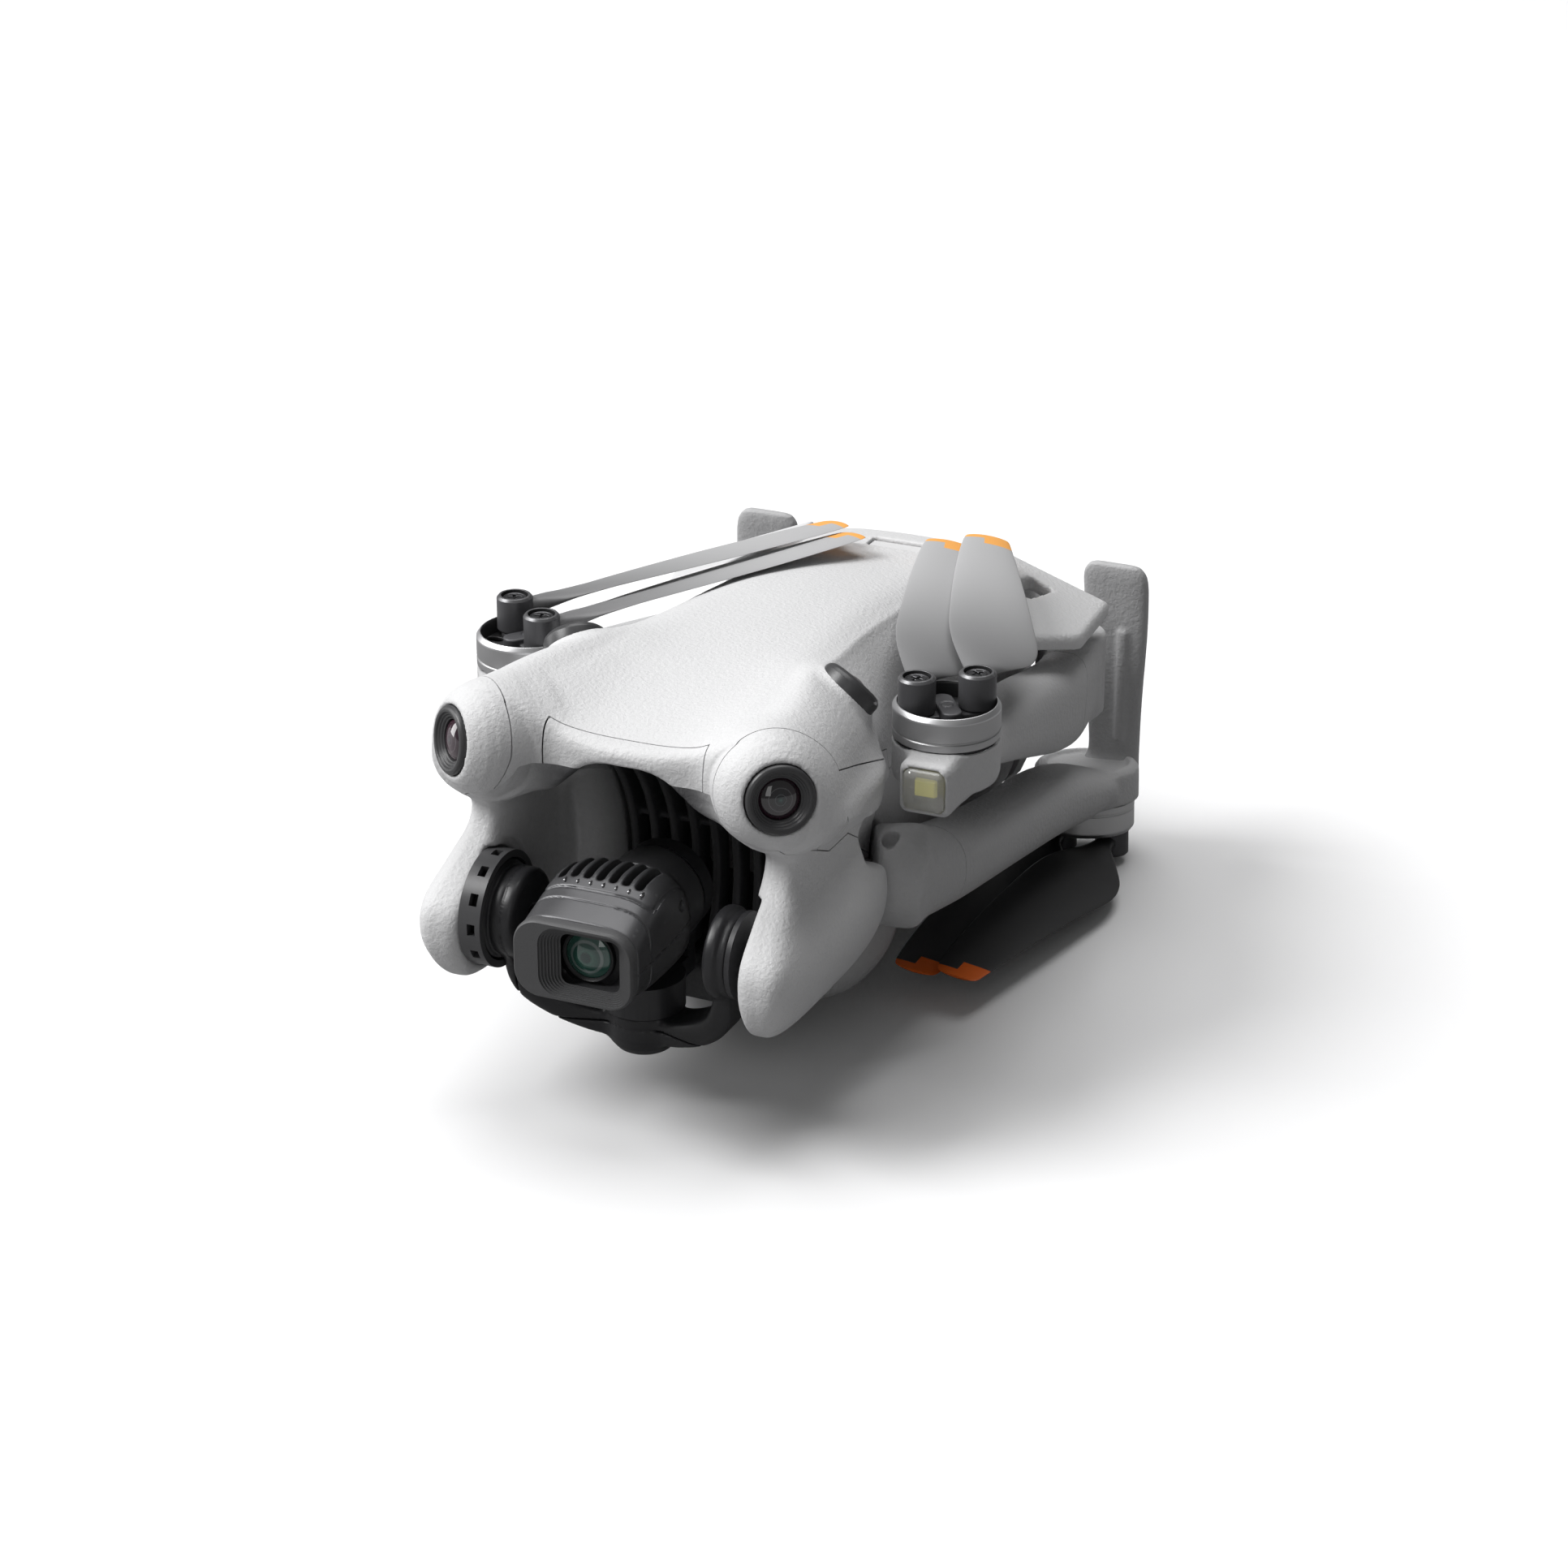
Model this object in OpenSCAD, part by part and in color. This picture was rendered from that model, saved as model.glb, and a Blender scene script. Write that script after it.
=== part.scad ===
// Palm-size folding camera drone, folded for carrying. Millimetres.
// X = 0 is the mirror plane, the camera looks along -Y, +Z is up.
// Pieces named "right" lie at +X.

/* [Shell] */
// Wall thickness of the moulded covers
wall = 1.6; // [1.2:0.1:2.4]
// Running clearance between a shaft and its hole (radial)
run_gap = 0.05; // [0.02:0.01:0.1]
// Distance of the front vision lens from the mirror plane
lens_x = 28; // [26:0.5:30]

/* [Motors] */
// Radius of the motor can
can_r = 8.9; // [8.5:0.1:9.3]
// Height of the motor can
can_h = 6; // [5:0.1:7]
// Radius of a blade hub
hub_r = 3.1; // [2.8:0.1:3.3]
// Distance of a blade hub from the motor axis
hub_off = 5.08; // [4.9:0.01:5.2]
// Blade length from hub to tip
blade_len = 70; // [64:0.5:71]
// Blade pitch at the widest chord (degrees)
blade_pitch = 19; // [14:1:22]

/* [Arms] */
// Motor axis of the rear arm, distance from the mirror plane
rear_motor_x = 38.1; // [37.5:0.1:39]
// Motor axis of the front arm, distance from the mirror plane
front_motor_x = 33; // [32.5:0.1:33.5]
// Backward lean of the front-arm motor (degrees)
front_lean = 6.6; // [5:0.1:9]

/* [Camera] */
// Width of the camera housing
cam_w = 21; // [19:0.5:22]
// Height of the camera housing
cam_h = 14.6; // [13:0.2:16]

/* [Hidden] */
$fn = 48;

grey = [0.80,0.80,0.80];
mid = [0.62,0.62,0.63];
dark = [0.13,0.13,0.14];
metal = [0.66,0.66,0.67];
glass = [0.1,0.1,0.12];
lamp_white = [0.95,0.95,0.8,0.8];

fit = 0.1;              // gap round a fixed piece in its pocket
pod_r = 9.25;           // foot of the pod round a front lens
front_ring_r = 5.6;
rear_ring_r = 4.55;
front_pin_r = 2.3;
rear_pin_r = 2.1;
fan_at = [0,-21,0];
fan_post_r = 1.5;
led_r = 0.45;
window_at = [-10.95,8.05];
window_size = [21.9,25.9];
belly_lens_r = 2.6;
belly_light_r = 2.1;
port_at = [-4,64,18];
latch_slot = [4.2,11];  // y, z
latch_at = [59,24];     // y, z
lamp_at = [39.4,-33,54];
lamp_half = 3.4;
cup_bore = 8.2;         // bore of the motor cups at the arm tips
base_t = 0.85;          // thickness of the stator base
motor_shaft_r = 0.75;
blade_screw_r = 1.55;
rear_hub_angle = 36.2;  // direction of the rear hub pair
tilt_at = [-65,34.8];   // y, z of the gimbal tilt axis
tilt_motor_x = -24.3;
tilt_motor_r = 9.7;
tilt_shaft_r = 1.4;
pan_at = [0,-57,0];
pan_shaft_r = 1.2;
roll_at = [-0.6,35];    // x, z of the camera roll axis
roll_shaft_r = 1.4;
cam_window = [0.6,35];  // x, z of the centre of the lens opening
cam_window_size = [13.6,10];

// ---- curves ----
function spline(before, from, to, after, part) =
  0.5*(2*from + (to-before)*part + (2*before-5*from+4*to-after)*pow(part,2)
    + (3*from-before-3*to+after)*pow(part,3));
// the inner points of a list and a point midway between each pair; the two end entries only guide
function midway(guided) = let(spans=len(guided)-3)
  [for (j=[0:2*spans]) let(i=min(floor(j/2),spans-1))
    spline(guided[i], guided[i+1], guided[i+2], guided[i+3], j/2-i)];
function smooth(table) = midway(concat([table[0]], table, [table[len(table)-1]]));

// ---- rings: flat rounded outlines, given half sizes and squareness ----
function signed_pow(value, power) = (value<0 ? -1 : 1)*pow(abs(value),power);
function oval(half_w, half_h, square, n) = [for (i=[0:n-1]) let(angle=(i+0.5)*360/n)
  [half_w*signed_pow(cos(angle),2/square), half_h*signed_pow(sin(angle),2/square)]];
// station: y, centre x, centre z, half width, half height
function ring_y(station, square, n=20) = [for (p=oval(station[3],station[4],square,n))
  [station[1]+p.x, station[0], station[2]+p.y]];
// station: z, centre x, centre y, half size in x, half size in y
function ring_z(station, square, n=20) = [for (p=oval(station[3],station[4],square,n))
  [station[1]+p.x, station[2]-p.y, station[0]]];

// ---- lofts ----
function centroid(ring) = [for (p=ring) 1]*ring/len(ring);
function quad(a, b, c, d) = [[a,b,c],[a,c,d]];
// signed volume swept between the rings, which tells the way round they run
function swept(rings) =
  let(m=len(rings[0]), n=len(rings), core=centroid(rings[floor(n/2)]),
    parts=[for (j=[0:n-2], i=[0:m-1])
      let(far=rings[j+1][(i+1)%m]-core)
        (rings[j][i]-core)*(cross(rings[j+1][i]-core,far)+cross(far,rings[j][(i+1)%m]-core))])
  parts*[for (v=parts) 1];
// closed solid through rings of equal length, flat fan caps
module loft(rings) {
  ordered = swept(rings)<0 ? rings : [for (j=[len(rings)-1:-1:0]) rings[j]];
  n = len(ordered);
  m = len(ordered[0]);
  polyhedron(
    points=concat([for (ring=ordered) each ring], [centroid(ordered[0]),centroid(ordered[n-1])]),
    faces=concat(
      [for (j=[0:n-2], i=[0:m-1])
        each quad(j*m+i, (j+1)*m+i, (j+1)*m+(i+1)%m, j*m+(i+1)%m)],
      [for (i=[0:m-1]) [n*m, i, (i+1)%m]],
      [for (i=[0:m-1]) [n*m+1, (n-1)*m+(i+1)%m, (n-1)*m+i]]));
}
// sheet between two skins of open lines, closed along both edges and both ends
module sheet(upper, lower) {
  n = len(upper);
  m = len(upper[0]);
  low = n*m;  // first point of the lower skin
  polyhedron(
    points=concat([for (line=upper) each line], [for (line=lower) each line]),
    faces=concat(
      [for (j=[0:n-2], i=[0:m-2]) let(k=j*m+i) each quad(k, k+m, k+m+1, k+1)],
      [for (j=[0:n-2], i=[0:m-2]) let(k=low+j*m+i) each quad(k, k+1, k+m+1, k+m)],
      [for (j=[0:n-2]) let(k=j*m) each quad(k, low+k, low+k+m, k+m)],
      [for (j=[0:n-2]) let(k=j*m+m-1) each quad(k, k+m, low+k+m, low+k)],
      [for (i=[0:m-2]) each quad(i, i+1, low+i+1, low+i)],
      [for (i=[0:m-2]) let(k=low-m+i) each quad(k, low+k, low+k+1, k+1)]));
}
module bar_y(stations, square, n=20)
  loft([for (station=smooth(stations)) ring_y(station, square, n)]);
module bar_z(stations, square, n=20)
  loft([for (station=smooth(stations)) ring_z(station, square, n)]);

// ---- small shapes ----
module box(at, size) translate(at) cube(size);
module disc(z, r, h) translate([0,0,z]) cylinder(r=r,h=h);
module cross_slot(z, half_len, h) {
  box([-half_len,-0.2,z], [2*half_len,0.4,h]);
  box([-0.2,-half_len,z], [0.4,2*half_len,h]);
}

// ---- frames ----
module flip() mirror([1,0,0]) children();
module both() {
  children();
  flip() children();
}
// local +z points forward, along -Y
module facing_front(at) translate(at) rotate([90,0,0]) children();
// local +z leaves the lens outward
module on_pod() translate([lens_x,-66,63.5]) rotate([82,0,38]) children();
// rear vision lens faces up, out and back
module on_rear_lens() translate([24.6,-30.6,67.6]) rotate([0,0,-38]) rotate([-48,0,0]) children();
module on_front_hinge() translate([29,-21,31.5]) rotate([0,96,26.6]) children();
module on_rear_hinge() translate([31,57,0]) children();
// motor frames: z = 0 is the seat, +z toward the blades
module on_rear_motor() translate([rear_motor_x,-21.7,58.7]) children();
module on_front_motor()
  translate([front_motor_x,62.5,12.8]) rotate([180-front_lean,-3.5,0]) children();
// local +z runs along +X
module on_tilt_axis(x) translate([x,tilt_at[0],tilt_at[1]]) rotate([0,90,0]) children();
module on_roll_axis(y) facing_front([roll_at[0],y,roll_at[1]]) children();

// ---- body sections ----
// right half of each section: y, then six points x,z from the mirror plane outward
top_sections = [
 [-61, 0,65.8, 9,66.4, 18,69.0, 25,70.5, 32,65.0, 34.5,57.5],
 [-54, 0,67.0, 9,67.6, 18,70.2, 25,71.6, 32,66.5, 35.0,56.5],
 [-46, 0,68.0, 9,68.6, 17,70.4, 24,71.6, 31,66.0, 33.5,54.0],
 [-38, 0,68.8, 9,69.2, 16,70.4, 22,71.3, 29,65.5, 31.5,52.0],
 [-30, 0,69.3, 8,69.6, 15,70.4, 20,70.6, 26.5,64.0, 28.0,50.0],
 [-20, 0,69.5, 8,69.5, 14,69.4, 18.5,68.6, 24.2,61.5, 26.6,49.0],
 [ -8, 0,69.2, 8,69.0, 13,68.6, 17.2,67.4, 22.6,60.5, 26.2,48.5],
 [  6, 0,68.3, 8,68.0, 12.5,67.4, 16.6,66.0, 22.2,59.5, 26.0,48.0],
 [ 20, 0,66.5, 8,66.2, 12.5,65.6, 16.4,64.2, 22.4,58.5, 26.5,48.0],
 [ 34, 0,64.0, 8,63.8, 13,63.2, 17.0,62.0, 23.0,57.5, 27.0,48.0],
 [ 48, 0,62.4, 8,62.2, 14,61.6, 18.5,60.6, 24.0,56.5, 27.0,48.0],
 [ 58, 0,60.8, 8,60.6, 14,60.0, 18.5,58.8, 24.0,55.0, 26.5,48.0]];
low_sections = [
 [-42, 0,12.5, 9,12.6, 16,14.5, 20.5,21, 22,36, 26.5,49.5],
 [-34, 0,9.6, 9,9.7, 17,11.0, 22.5,18, 24,36, 27.2,49],
 [-24, 0,7.6, 9,7.7, 19,8.3, 24.2,14.5, 24.2,36, 26.2,48.2],
 [-10, 0,7.4, 9,7.5, 19.0,8.0, 24.0,14.0, 23.8,36, 25.4,47.7],
 [  4, 0,7.8, 9,7.9, 16.5,9.0, 21.6,16.5, 22.8,36, 25.0,47.5],
 [ 14, 0,8.0, 9,8.1, 15.5,9.4, 20.8,17, 22.6,36, 25.0,47.5],
 [ 35, 0,9.0, 9,9.1, 15,10.6, 20.6,18, 22.6,36, 25.4,47.5],
 [ 57, 0,10.5, 9,10.6, 15,12.0, 20.6,19, 22.5,36, 24.3,47.5]];

function half_line(section) =
  let(last=(len(section)-3)/2, points=[for (i=[0:last]) [section[1+2*i],section[2+2*i]]])
  midway(concat([[-points[1].x,points[1].y]], points, [points[last]]));
// whole section line, shifted down by drop at the middle and square to itself further out;
// the two ends always move inward
function arch(section, drop=0) =
  let(line=half_line(section), last=len(line)-1,
    moved=[for (i=[0:last]) let(run=line[min(last,i+1)]-line[max(0,i-1)])
      i==last ? line[i]-[abs(drop),0]
      : i==0 ? [0,line[i].y-drop]
      : line[i]-drop*[-run.y,run.x]/norm(run)])
  concat([for (i=[last:-1:1]) [-moved[i].x,section[0],moved[i].y]],
    [for (p=moved) [p.x,section[0],p.y]]);
function arches(sections, drop=0) = [for (section=sections) arch(section,drop)];

module top_fill() loft(arches(top_sections));
module lower_skin() sheet(arches(low_sections,-wall), arches(low_sections));

// ---- outer covers ----
module pod_room() on_pod() disc(-7.1, pod_r+fit, 30);
module side_slot(z, width, height)
  translate([24.5,41,z]) rotate([0,0,-8]) cube([width,9,height]);
module at_leds(z) for (i=[0:3]) translate([-3.6+2.4*i,45.7,z]) children();

module top_shell() color(grey) {
  tray_at = [-6.4,44.6];
  tray_size = [12.8,7.6];
  difference() {
    sheet(arches(top_sections), arches(top_sections,wall));
    both() on_rear_lens() cylinder(r=4.6,h=12,center=true);
    both() pod_room();
    box([each tray_at,50], [each tray_size,20]);
    both() side_slot(56.5, 4, 14);
  }
  // tray for the power button
  difference() {
    box([each tray_at,59], [each tray_size,2.2]);
    box([-5,46.6,58], [10,3.8,5]);
    at_leds(58) cylinder(r=led_r,h=5);
  }
}

module at_belly_screws() both() for (at=[[13,-30,9.4],[13,42,10.7]]) translate(at) children();

module lower_shell() color(grey) difference() {
  union() {
    lower_skin();
    // front bulkhead with its air window
    difference() {
      box([-21.5,-42,13], [43,wall,46]);
      box([-14,-43,22], [28,4,30]);
    }
    // bosses that carry the front arm pins
    both() on_front_hinge() disc(-9.6, 4.2, 5.4);
    // lugs that carry the rear arm pins
    both() {
      on_rear_hinge() disc(28.2, 6, 3.2);
      box([23.4,51.5,28.2], [7.6,11,3.2]);
      box([21.2,50.5,28.2], [6,6.2,3.2]);
      box([21.6,36,28.2], [5,13.6,12]);
    }
  }
  box([each window_at,4], [each window_size,9]);
  both() on_front_hinge() {
    disc(-10.2, front_pin_r, 7);
    disc(-4.15, 8.7, 16);
  }
  both() on_rear_hinge() disc(28, rear_pin_r, 4);
  at_belly_screws() {
    disc(-6, 1.6, 6.9);
    cylinder(r=0.83,h=6);
  }
}

module nose_cover() color(grey) difference() {
  union() {
    both() on_pod() rotate_extrude() polygon(
      [[0,-7],[pod_r,-7],[9.15,-3.4],[8.5,-1.4],[6.6,0.9],[5.9,1.2],[0,1.2]]);
    // brow between the pods
    loft([for (u=[-1:0.1:1]) [for (p=oval(2.6,2.9+1.5*u*u,3,16))
      [u*21.5, -59.4-1.6*u*u+p.x, 61.2+1.3*u*u+p.y]]]);
  }
  both() on_pod() disc(-3.2, front_ring_r+fit, 6);
  on_tilt_axis(-21.5) cylinder(r=24.6,h=43,$fn=96);
}

module tail_deck() color(grey) difference() {
  thick = 1.5;
  // sections from the body outward
  both() loft([for (u=[0:0.25:1]) let(
      x=21.4+15.8*u,
      front_y=27.5-2*u,
      back_y=54.5+4.2*u,
      mid_y=(front_y+back_y)/2,
      front_z=63.2-6.6*u,
      back_z=60.8-7.6*u,
      mid_z=(front_z+back_z)/2)
    [[x,front_y,front_z-thick], [x,front_y+1.2,front_z-thick-1.3], [x,mid_y,mid_z-thick-1.5],
     [x,back_y-1.2,back_z-thick-1.3], [x,back_y,back_z-thick], [x,back_y-0.8,back_z-0.2],
     [x,mid_y,mid_z], [x,front_y+0.8,front_z-0.2]]]);
  both() side_slot(46, 4.4, 20);
  top_fill();
}

// z, centre x, centre y, half size in x, half size in y
cheek_stations = [
 [23.2, 26.6,-51,2.6,17.5], [24.6, 27.0,-52,3.6,19.4], [27.6, 27.6,-52.4,4.8,21.4],
 [32, 28.0,-52.6,5.9,22.6], [37, 27.8,-52.0,6.0,22.2], [42, 26.9,-49.6,5.0,19.2],
 [46.5, 26.2,-46.8,4.2,16.6], [51, 26.2,-45.8,4.2,15.8], [56, 27.6,-47.5,5.0,16.0]];
module cheek_guards() color(grey) difference() {
  both() bar_z(cheek_stations, 3.2, 24);
  both() pod_room();
  // trimmed against the body
  top_fill();
  loft(arches(low_sections));
  lower_skin();
  // room for the gimbal
  on_tilt_axis(tilt_motor_x-fit) cylinder(r=tilt_motor_r+fit,h=46.6);
  on_tilt_axis(-21.9) cylinder(r=28.2,h=43.8,$fn=96);
  box([-50,-29.6,20], [100,10,50]);
  both() on_front_hinge() disc(-12, 9.6, 24);
}

module intake_grille() color(mid) difference() {
  union() {
    for (x=[-20:4:20]) box([x-0.6,-54,13], [1.2,12,50.5]);
    for (z=[24,44]) box([-21.4,-46,z], [42.8,4,1.2]);
    for (z=[61.6,12.4]) box([-21.4,-43.4,z], [42.8,1.4,2.4]);
  }
  on_tilt_axis(-30) cylinder(r=27.6,h=60,$fn=96);
}

// ---- vision lenses ----
module front_lens_rings() color(dark) both() on_pod() rotate_extrude() polygon(
  [[3.4,-3.1],[front_ring_r,-3.1],[front_ring_r,1.6],[5.1,1.9],[4.7,1.9],[3.4,0.9]]);
module front_lens_glass() color(glass) both() on_pod() rotate_extrude() polygon(
  [[0,-3],[3.35,-3],[3.35,0.2],[2.6,0.9],[1.5,1.35],[0,1.5]]);
module rear_lens_rings() color(dark) both() on_rear_lens() rotate_extrude() polygon(
  [[3.0,-1.6],[rear_ring_r,-1.6],[rear_ring_r,0.9],[4.0,1.3],[3.0,0.8]]);
module rear_lens_glass() color(glass) both() on_rear_lens() rotate_extrude() polygon(
  [[0,-1.5],[2.95,-1.5],[2.95,0.5],[1.7,1.4],[0,1.7]]);

// ---- board, cooling, button ----
module main_board() color([0.05,0.25,0.12]) union() {
  box([-18,-36,45.6], [36,74,1.6]);
  for (at=[[-12,16],[4,18],[-6,2],[9,3]]) box([each at,47.1], [7,7,1.2]);
}
module heat_sink() color(metal) union() {
  box([-15,-34,47.3], [30,28,1.8]);
  for (i=[0:9]) box([-14.4+3.1*i,-8.2,49], [0.9,2.2,7]);
  translate(fan_at) disc(49, fan_post_r, 8);
}
module fan_rotor() color(dark) translate(fan_at+[0,0,49.6]) difference() {
  union() {
    cylinder(r=4.4,h=6);
    cylinder(r=11.6,h=0.8);
    for (a=[0:30:330]) rotate([0,0,a]) box([4,-0.4,0], [7.4,0.8,5.4]);
  }
  disc(-1, fan_post_r+run_gap, 9);
}
module status_leds() color([0.9,0.95,1]) at_leds(59.4) cylinder(r=led_r,h=1.7);
module power_button() color(mid) union() {
  box([-4.9,46.7,59.3], [9.8,3.6,2.1]);
  box([-5.6,46.2,58], [11.2,4.6,0.5]);
  box([-4.9,46.7,58.2], [9.8,3.6,1.5]);
}

// ---- belly window ----
module at_belly_lenses(z) for (x=[-6,6]) translate([x,14,z]) children();
module at_belly_light(z) translate([0,28,z]) children();
module belly_window() color(dark) difference() {
  box([each window_at,7.9], [each window_size,1.6]);
  at_belly_lenses(5) cylinder(r=belly_lens_r,h=6);
  at_belly_light(5) cylinder(r=belly_light_r,h=6);
}
module belly_lenses() color(glass) at_belly_lenses(8) cylinder(r=belly_lens_r,h=1.5);
module belly_light() color([0.95,0.93,0.85]) at_belly_light(8) cylinder(r=belly_light_r,h=1.5);

// ---- pins and screws ----
module arm_pins() color(metal) both() {
  on_front_hinge() disc(-10, front_pin_r, 13);
  on_rear_hinge() disc(29.8, rear_pin_r, 17.8);
}
module shell_screws() color(metal) at_belly_screws() difference() {
  shank_r = 0.825;
  union() {
    cylinder(r=1.5,h=0.9);
    cylinder(r=shank_r,h=3);
  }
  cross_slot(-0.1, shank_r, 0.5);
}

// ---- battery ----
// y, centre x, centre z, half width, half height
battery_end = [[57.4, 0,29.5,22.2,17.0], [60, 0,29.3,22.6,17.6],
 [63, 0,29.1,21.6,16.6], [65.4, 0,28.9,19.6,14.4]];
module battery_pack() color([0.3,0.3,0.31]) difference() {
  union() {
    box([-17,-4,16.6], [34,62,27.4]);
    box([-14.4,-4,14], [28.8,62,4]);
    loft([for (station=battery_end) ring_y(station, 4, 28)]);
  }
  box(port_at, [8,3,3]);
  both() box([19.2,each latch_at], [6,each latch_slot]);
}
module charge_port() color(metal) difference() {
  box(port_at+[fit,fit,fit], [8-2*fit,1.1,3-2*fit]);
  box([-3.3,64.4,18.7], [6.6,2,1.6]);
}
module latch() box([20.6,each latch_at+[fit,fit]], [2.3,each latch_slot-2*[fit,fit]]);
module latch_right() color(mid) latch();
module latch_left() color(mid) flip() latch();

// ---- rear arms ----
// y, centre x, centre z, half width, half height
rear_arm_stations = [
 [55, 32.0,40.0,4.2,6.6], [44, 33.4,41.0,4.4,6.2], [28, 34.6,44.2,4.6,6.2],
 [12, 35.6,47.6,4.9,6.0], [0, 36.4,50.4,5.4,5.6], [-10, 37.2,53.0,6.4,4.6],
 [-17, 37.8,54.4,7.2,3.4]];
module rear_arm() difference() {
  union() {
    on_rear_hinge() disc(31.6, 6.4, 15.6);
    bar_y(rear_arm_stations, 3.6);
    // motor cup
    on_rear_motor() rotate_extrude() polygon([[0,-8.3],[6.6,-8.3],[8.3,-7.4],[8.9,-6.1],
      [8.9,-0.3],[cup_bore,-0.3],[cup_bore,-base_t],[0,-base_t]]);
    // lamp housing
    hull() {
      facing_front([39.4,-34.2,54.2]) box([-3,-3.2,0], [6,6.4,0.6]);
      facing_front([39.4,-32,54.0]) box([-4.4,-4.4,0], [8.8,8.6,1]);
      facing_front([38.8,-22,54.6]) box([-4.6,-4,0], [9.2,7.2,1]);
    }
  }
  on_rear_hinge() disc(25, rear_pin_r+run_gap, 30);
  on_rear_motor() disc(-base_t, cup_bore, 8);
  facing_front(lamp_at+[0,fit,0]) lamp_block(lamp_half+fit, 4);
}
module rear_arm_right() color(mid) rear_arm();
module rear_arm_left() color(mid) flip() rear_arm();

module lamp_block(half, depth) box([-half,-half,0], [2*half,2*half,depth]);
module lamp() facing_front(lamp_at) lamp_block(lamp_half, 1.9);
module lamp_right() color(lamp_white) lamp();
module lamp_left() color(lamp_white) flip() lamp();

// ---- front arms ----
// y, centre x, centre z, half width, half height
front_arm_stations = [
 [-24, 30.8,31.6,5.4,7.6], [-16, 31.0,30.4,6.0,7.8], [-6, 31.2,28.0,6.2,7.2],
 [6, 31.4,25.6,6.2,6.6], [22, 31.8,22.6,6.0,6.1], [38, 32.2,19.6,6.0,5.0],
 [49, 32.8,17.6,6.8,3.6], [56, 33,16.6,7.4,2.6]];
module front_arm() difference() {
  union() {
    // root knuckle on the inclined hinge
    on_front_hinge() disc(-4, 8.3, 8.2);
    bar_y(front_arm_stations, 2.6);
    // motor cup
    on_front_motor() rotate_extrude() polygon([[0,-5.6],[7.6,-5.6],[7.6,-6.6],[8.9,-6.6],
      [9.6,-5.8],[9.6,0.1],[8.6,0.1],[cup_bore,-0.4],[cup_bore,-base_t],[0,-base_t]]);
  }
  on_front_hinge() {
    disc(-12, front_pin_r+run_gap, 15.5);
    disc(-12, 9.5, 7.9);
  }
  on_front_motor() disc(-base_t, cup_bore, 10);
  translate([28.2,-24.5,38]) cylinder(r=1.3,h=8);
}
module front_arm_right() color(mid) front_arm();
module front_arm_left() color(mid) flip() front_arm();

// z, centre x, centre y, half size in x, half size in y
leg_stations = [
 [13, 35.2,69.6,5.2,1.9], [20, 35.4,70.2,4.8,1.7], [30, 35.2,70.2,5.2,1.6],
 [42, 35.2,70.0,5.8,1.55], [50, 35.0,69.8,6.1,1.5], [54, 34.8,69.6,6.0,1.4],
 [55.8, 34.7,69.5,5.0,1.1], [56.4, 34.7,69.4,3.8,0.7]];
module leg() difference() {
  union() {
    bar_z(leg_stations, 4);
    box([35.4,67.9,22], [3.2,1.4,22]);
    box([29.9,62,13.6], [9.6,8.0,5.0]);
  }
  on_front_motor() disc(-8, 9.65, 20);
}
module leg_right() color(grey) leg();
module leg_left() color(grey) flip() leg();

// ---- motors, in the motor frame ----
module stator() difference() {
  union() {
    disc(-base_t, 8.1, base_t);
    cylinder(r=2.4,h=0.9);
    cylinder(r=motor_shaft_r,h=3.9);
    disc(0.3, 6.6, 1.9);
  }
  for (a=[0:30:330]) rotate([0,0,a]) box([3.8,-0.45,0.28], [4,0.9,2.2]);
}
module stator_rear_right() color(dark) on_rear_motor() stator();
module stator_rear_left() color(dark) flip() on_rear_motor() stator();
module stator_front_right() color(dark) on_front_motor() stator();
module stator_front_left() color(dark) flip() on_front_motor() stator();

module bell() difference() {
  rotate_extrude() polygon([[0,2.6],[8.2,2.6],[8.2,0.35],[can_r,0.35],[can_r,can_h-0.7],
    [can_r-0.25,can_h],[can_r-0.5,can_h],[8.3,can_h-0.6],[8.3,3.3],[0,3.3]]);
  disc(-1, motor_shaft_r+run_gap, 8);
  for (a=[45:90:315]) rotate([0,0,a]) translate([4.9,0,2]) cylinder(r=2.2,h=3);
}
module bell_rear_right() color(metal) on_rear_motor() bell();
module bell_rear_left() color(metal) flip() on_rear_motor() bell();
module bell_front_right() color(metal) on_front_motor() bell();
module bell_front_left() color(metal) flip() on_front_motor() bell();

// clamp plate and its two blade screws
module clamp(angle) rotate([0,0,angle]) {
  difference() {
    union() {
      box([-7.2,-2.6,3.35], [14.4,5.2,0.95]);
      box([-1.7,-4.6,3.35], [3.4,9.2,2.0]);
    }
    disc(3, 0.9, 2);
  }
  for (side=[-1,1]) translate([side*hub_off,0,4.4]) difference() {
    union() {
      cylinder(r=blade_screw_r,h=5.1);
      disc(5.1, 2.1, 0.8);
    }
    cross_slot(5.5, 0.9, 1);
  }
}
module clamp_rear_right() color(metal) on_rear_motor() clamp(rear_hub_angle);
module clamp_rear_left() color(metal) flip() on_rear_motor() clamp(rear_hub_angle);
module clamp_front_right() color(metal) on_front_motor() clamp(0);
module clamp_front_left() color(metal) flip() on_front_motor() clamp(0);

// ---- blades ----
// distance from the hub, chord centre, half chord, half thickness, share of the pitch
table_len = 70;
blade_stations = [
 [1.6,0,1.7,1.5,0.15], [6,-0.1,2.3,1.25,0.35], [11,-1.0,4.6,0.75,0.8], [17,-2.0,7.0,0.6,1],
 [24,-2.2,7.9,0.55,0.97], [34,-1.6,7.3,0.5,0.84], [46,-0.9,6.4,0.45,0.7], [58,-0.3,5.3,0.4,0.6],
 [66,0,4.4,0.36,0.52], [69.2,0,3.8,0.3,0.5], [table_len,0,2.8,0.22,0.5]];
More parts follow.
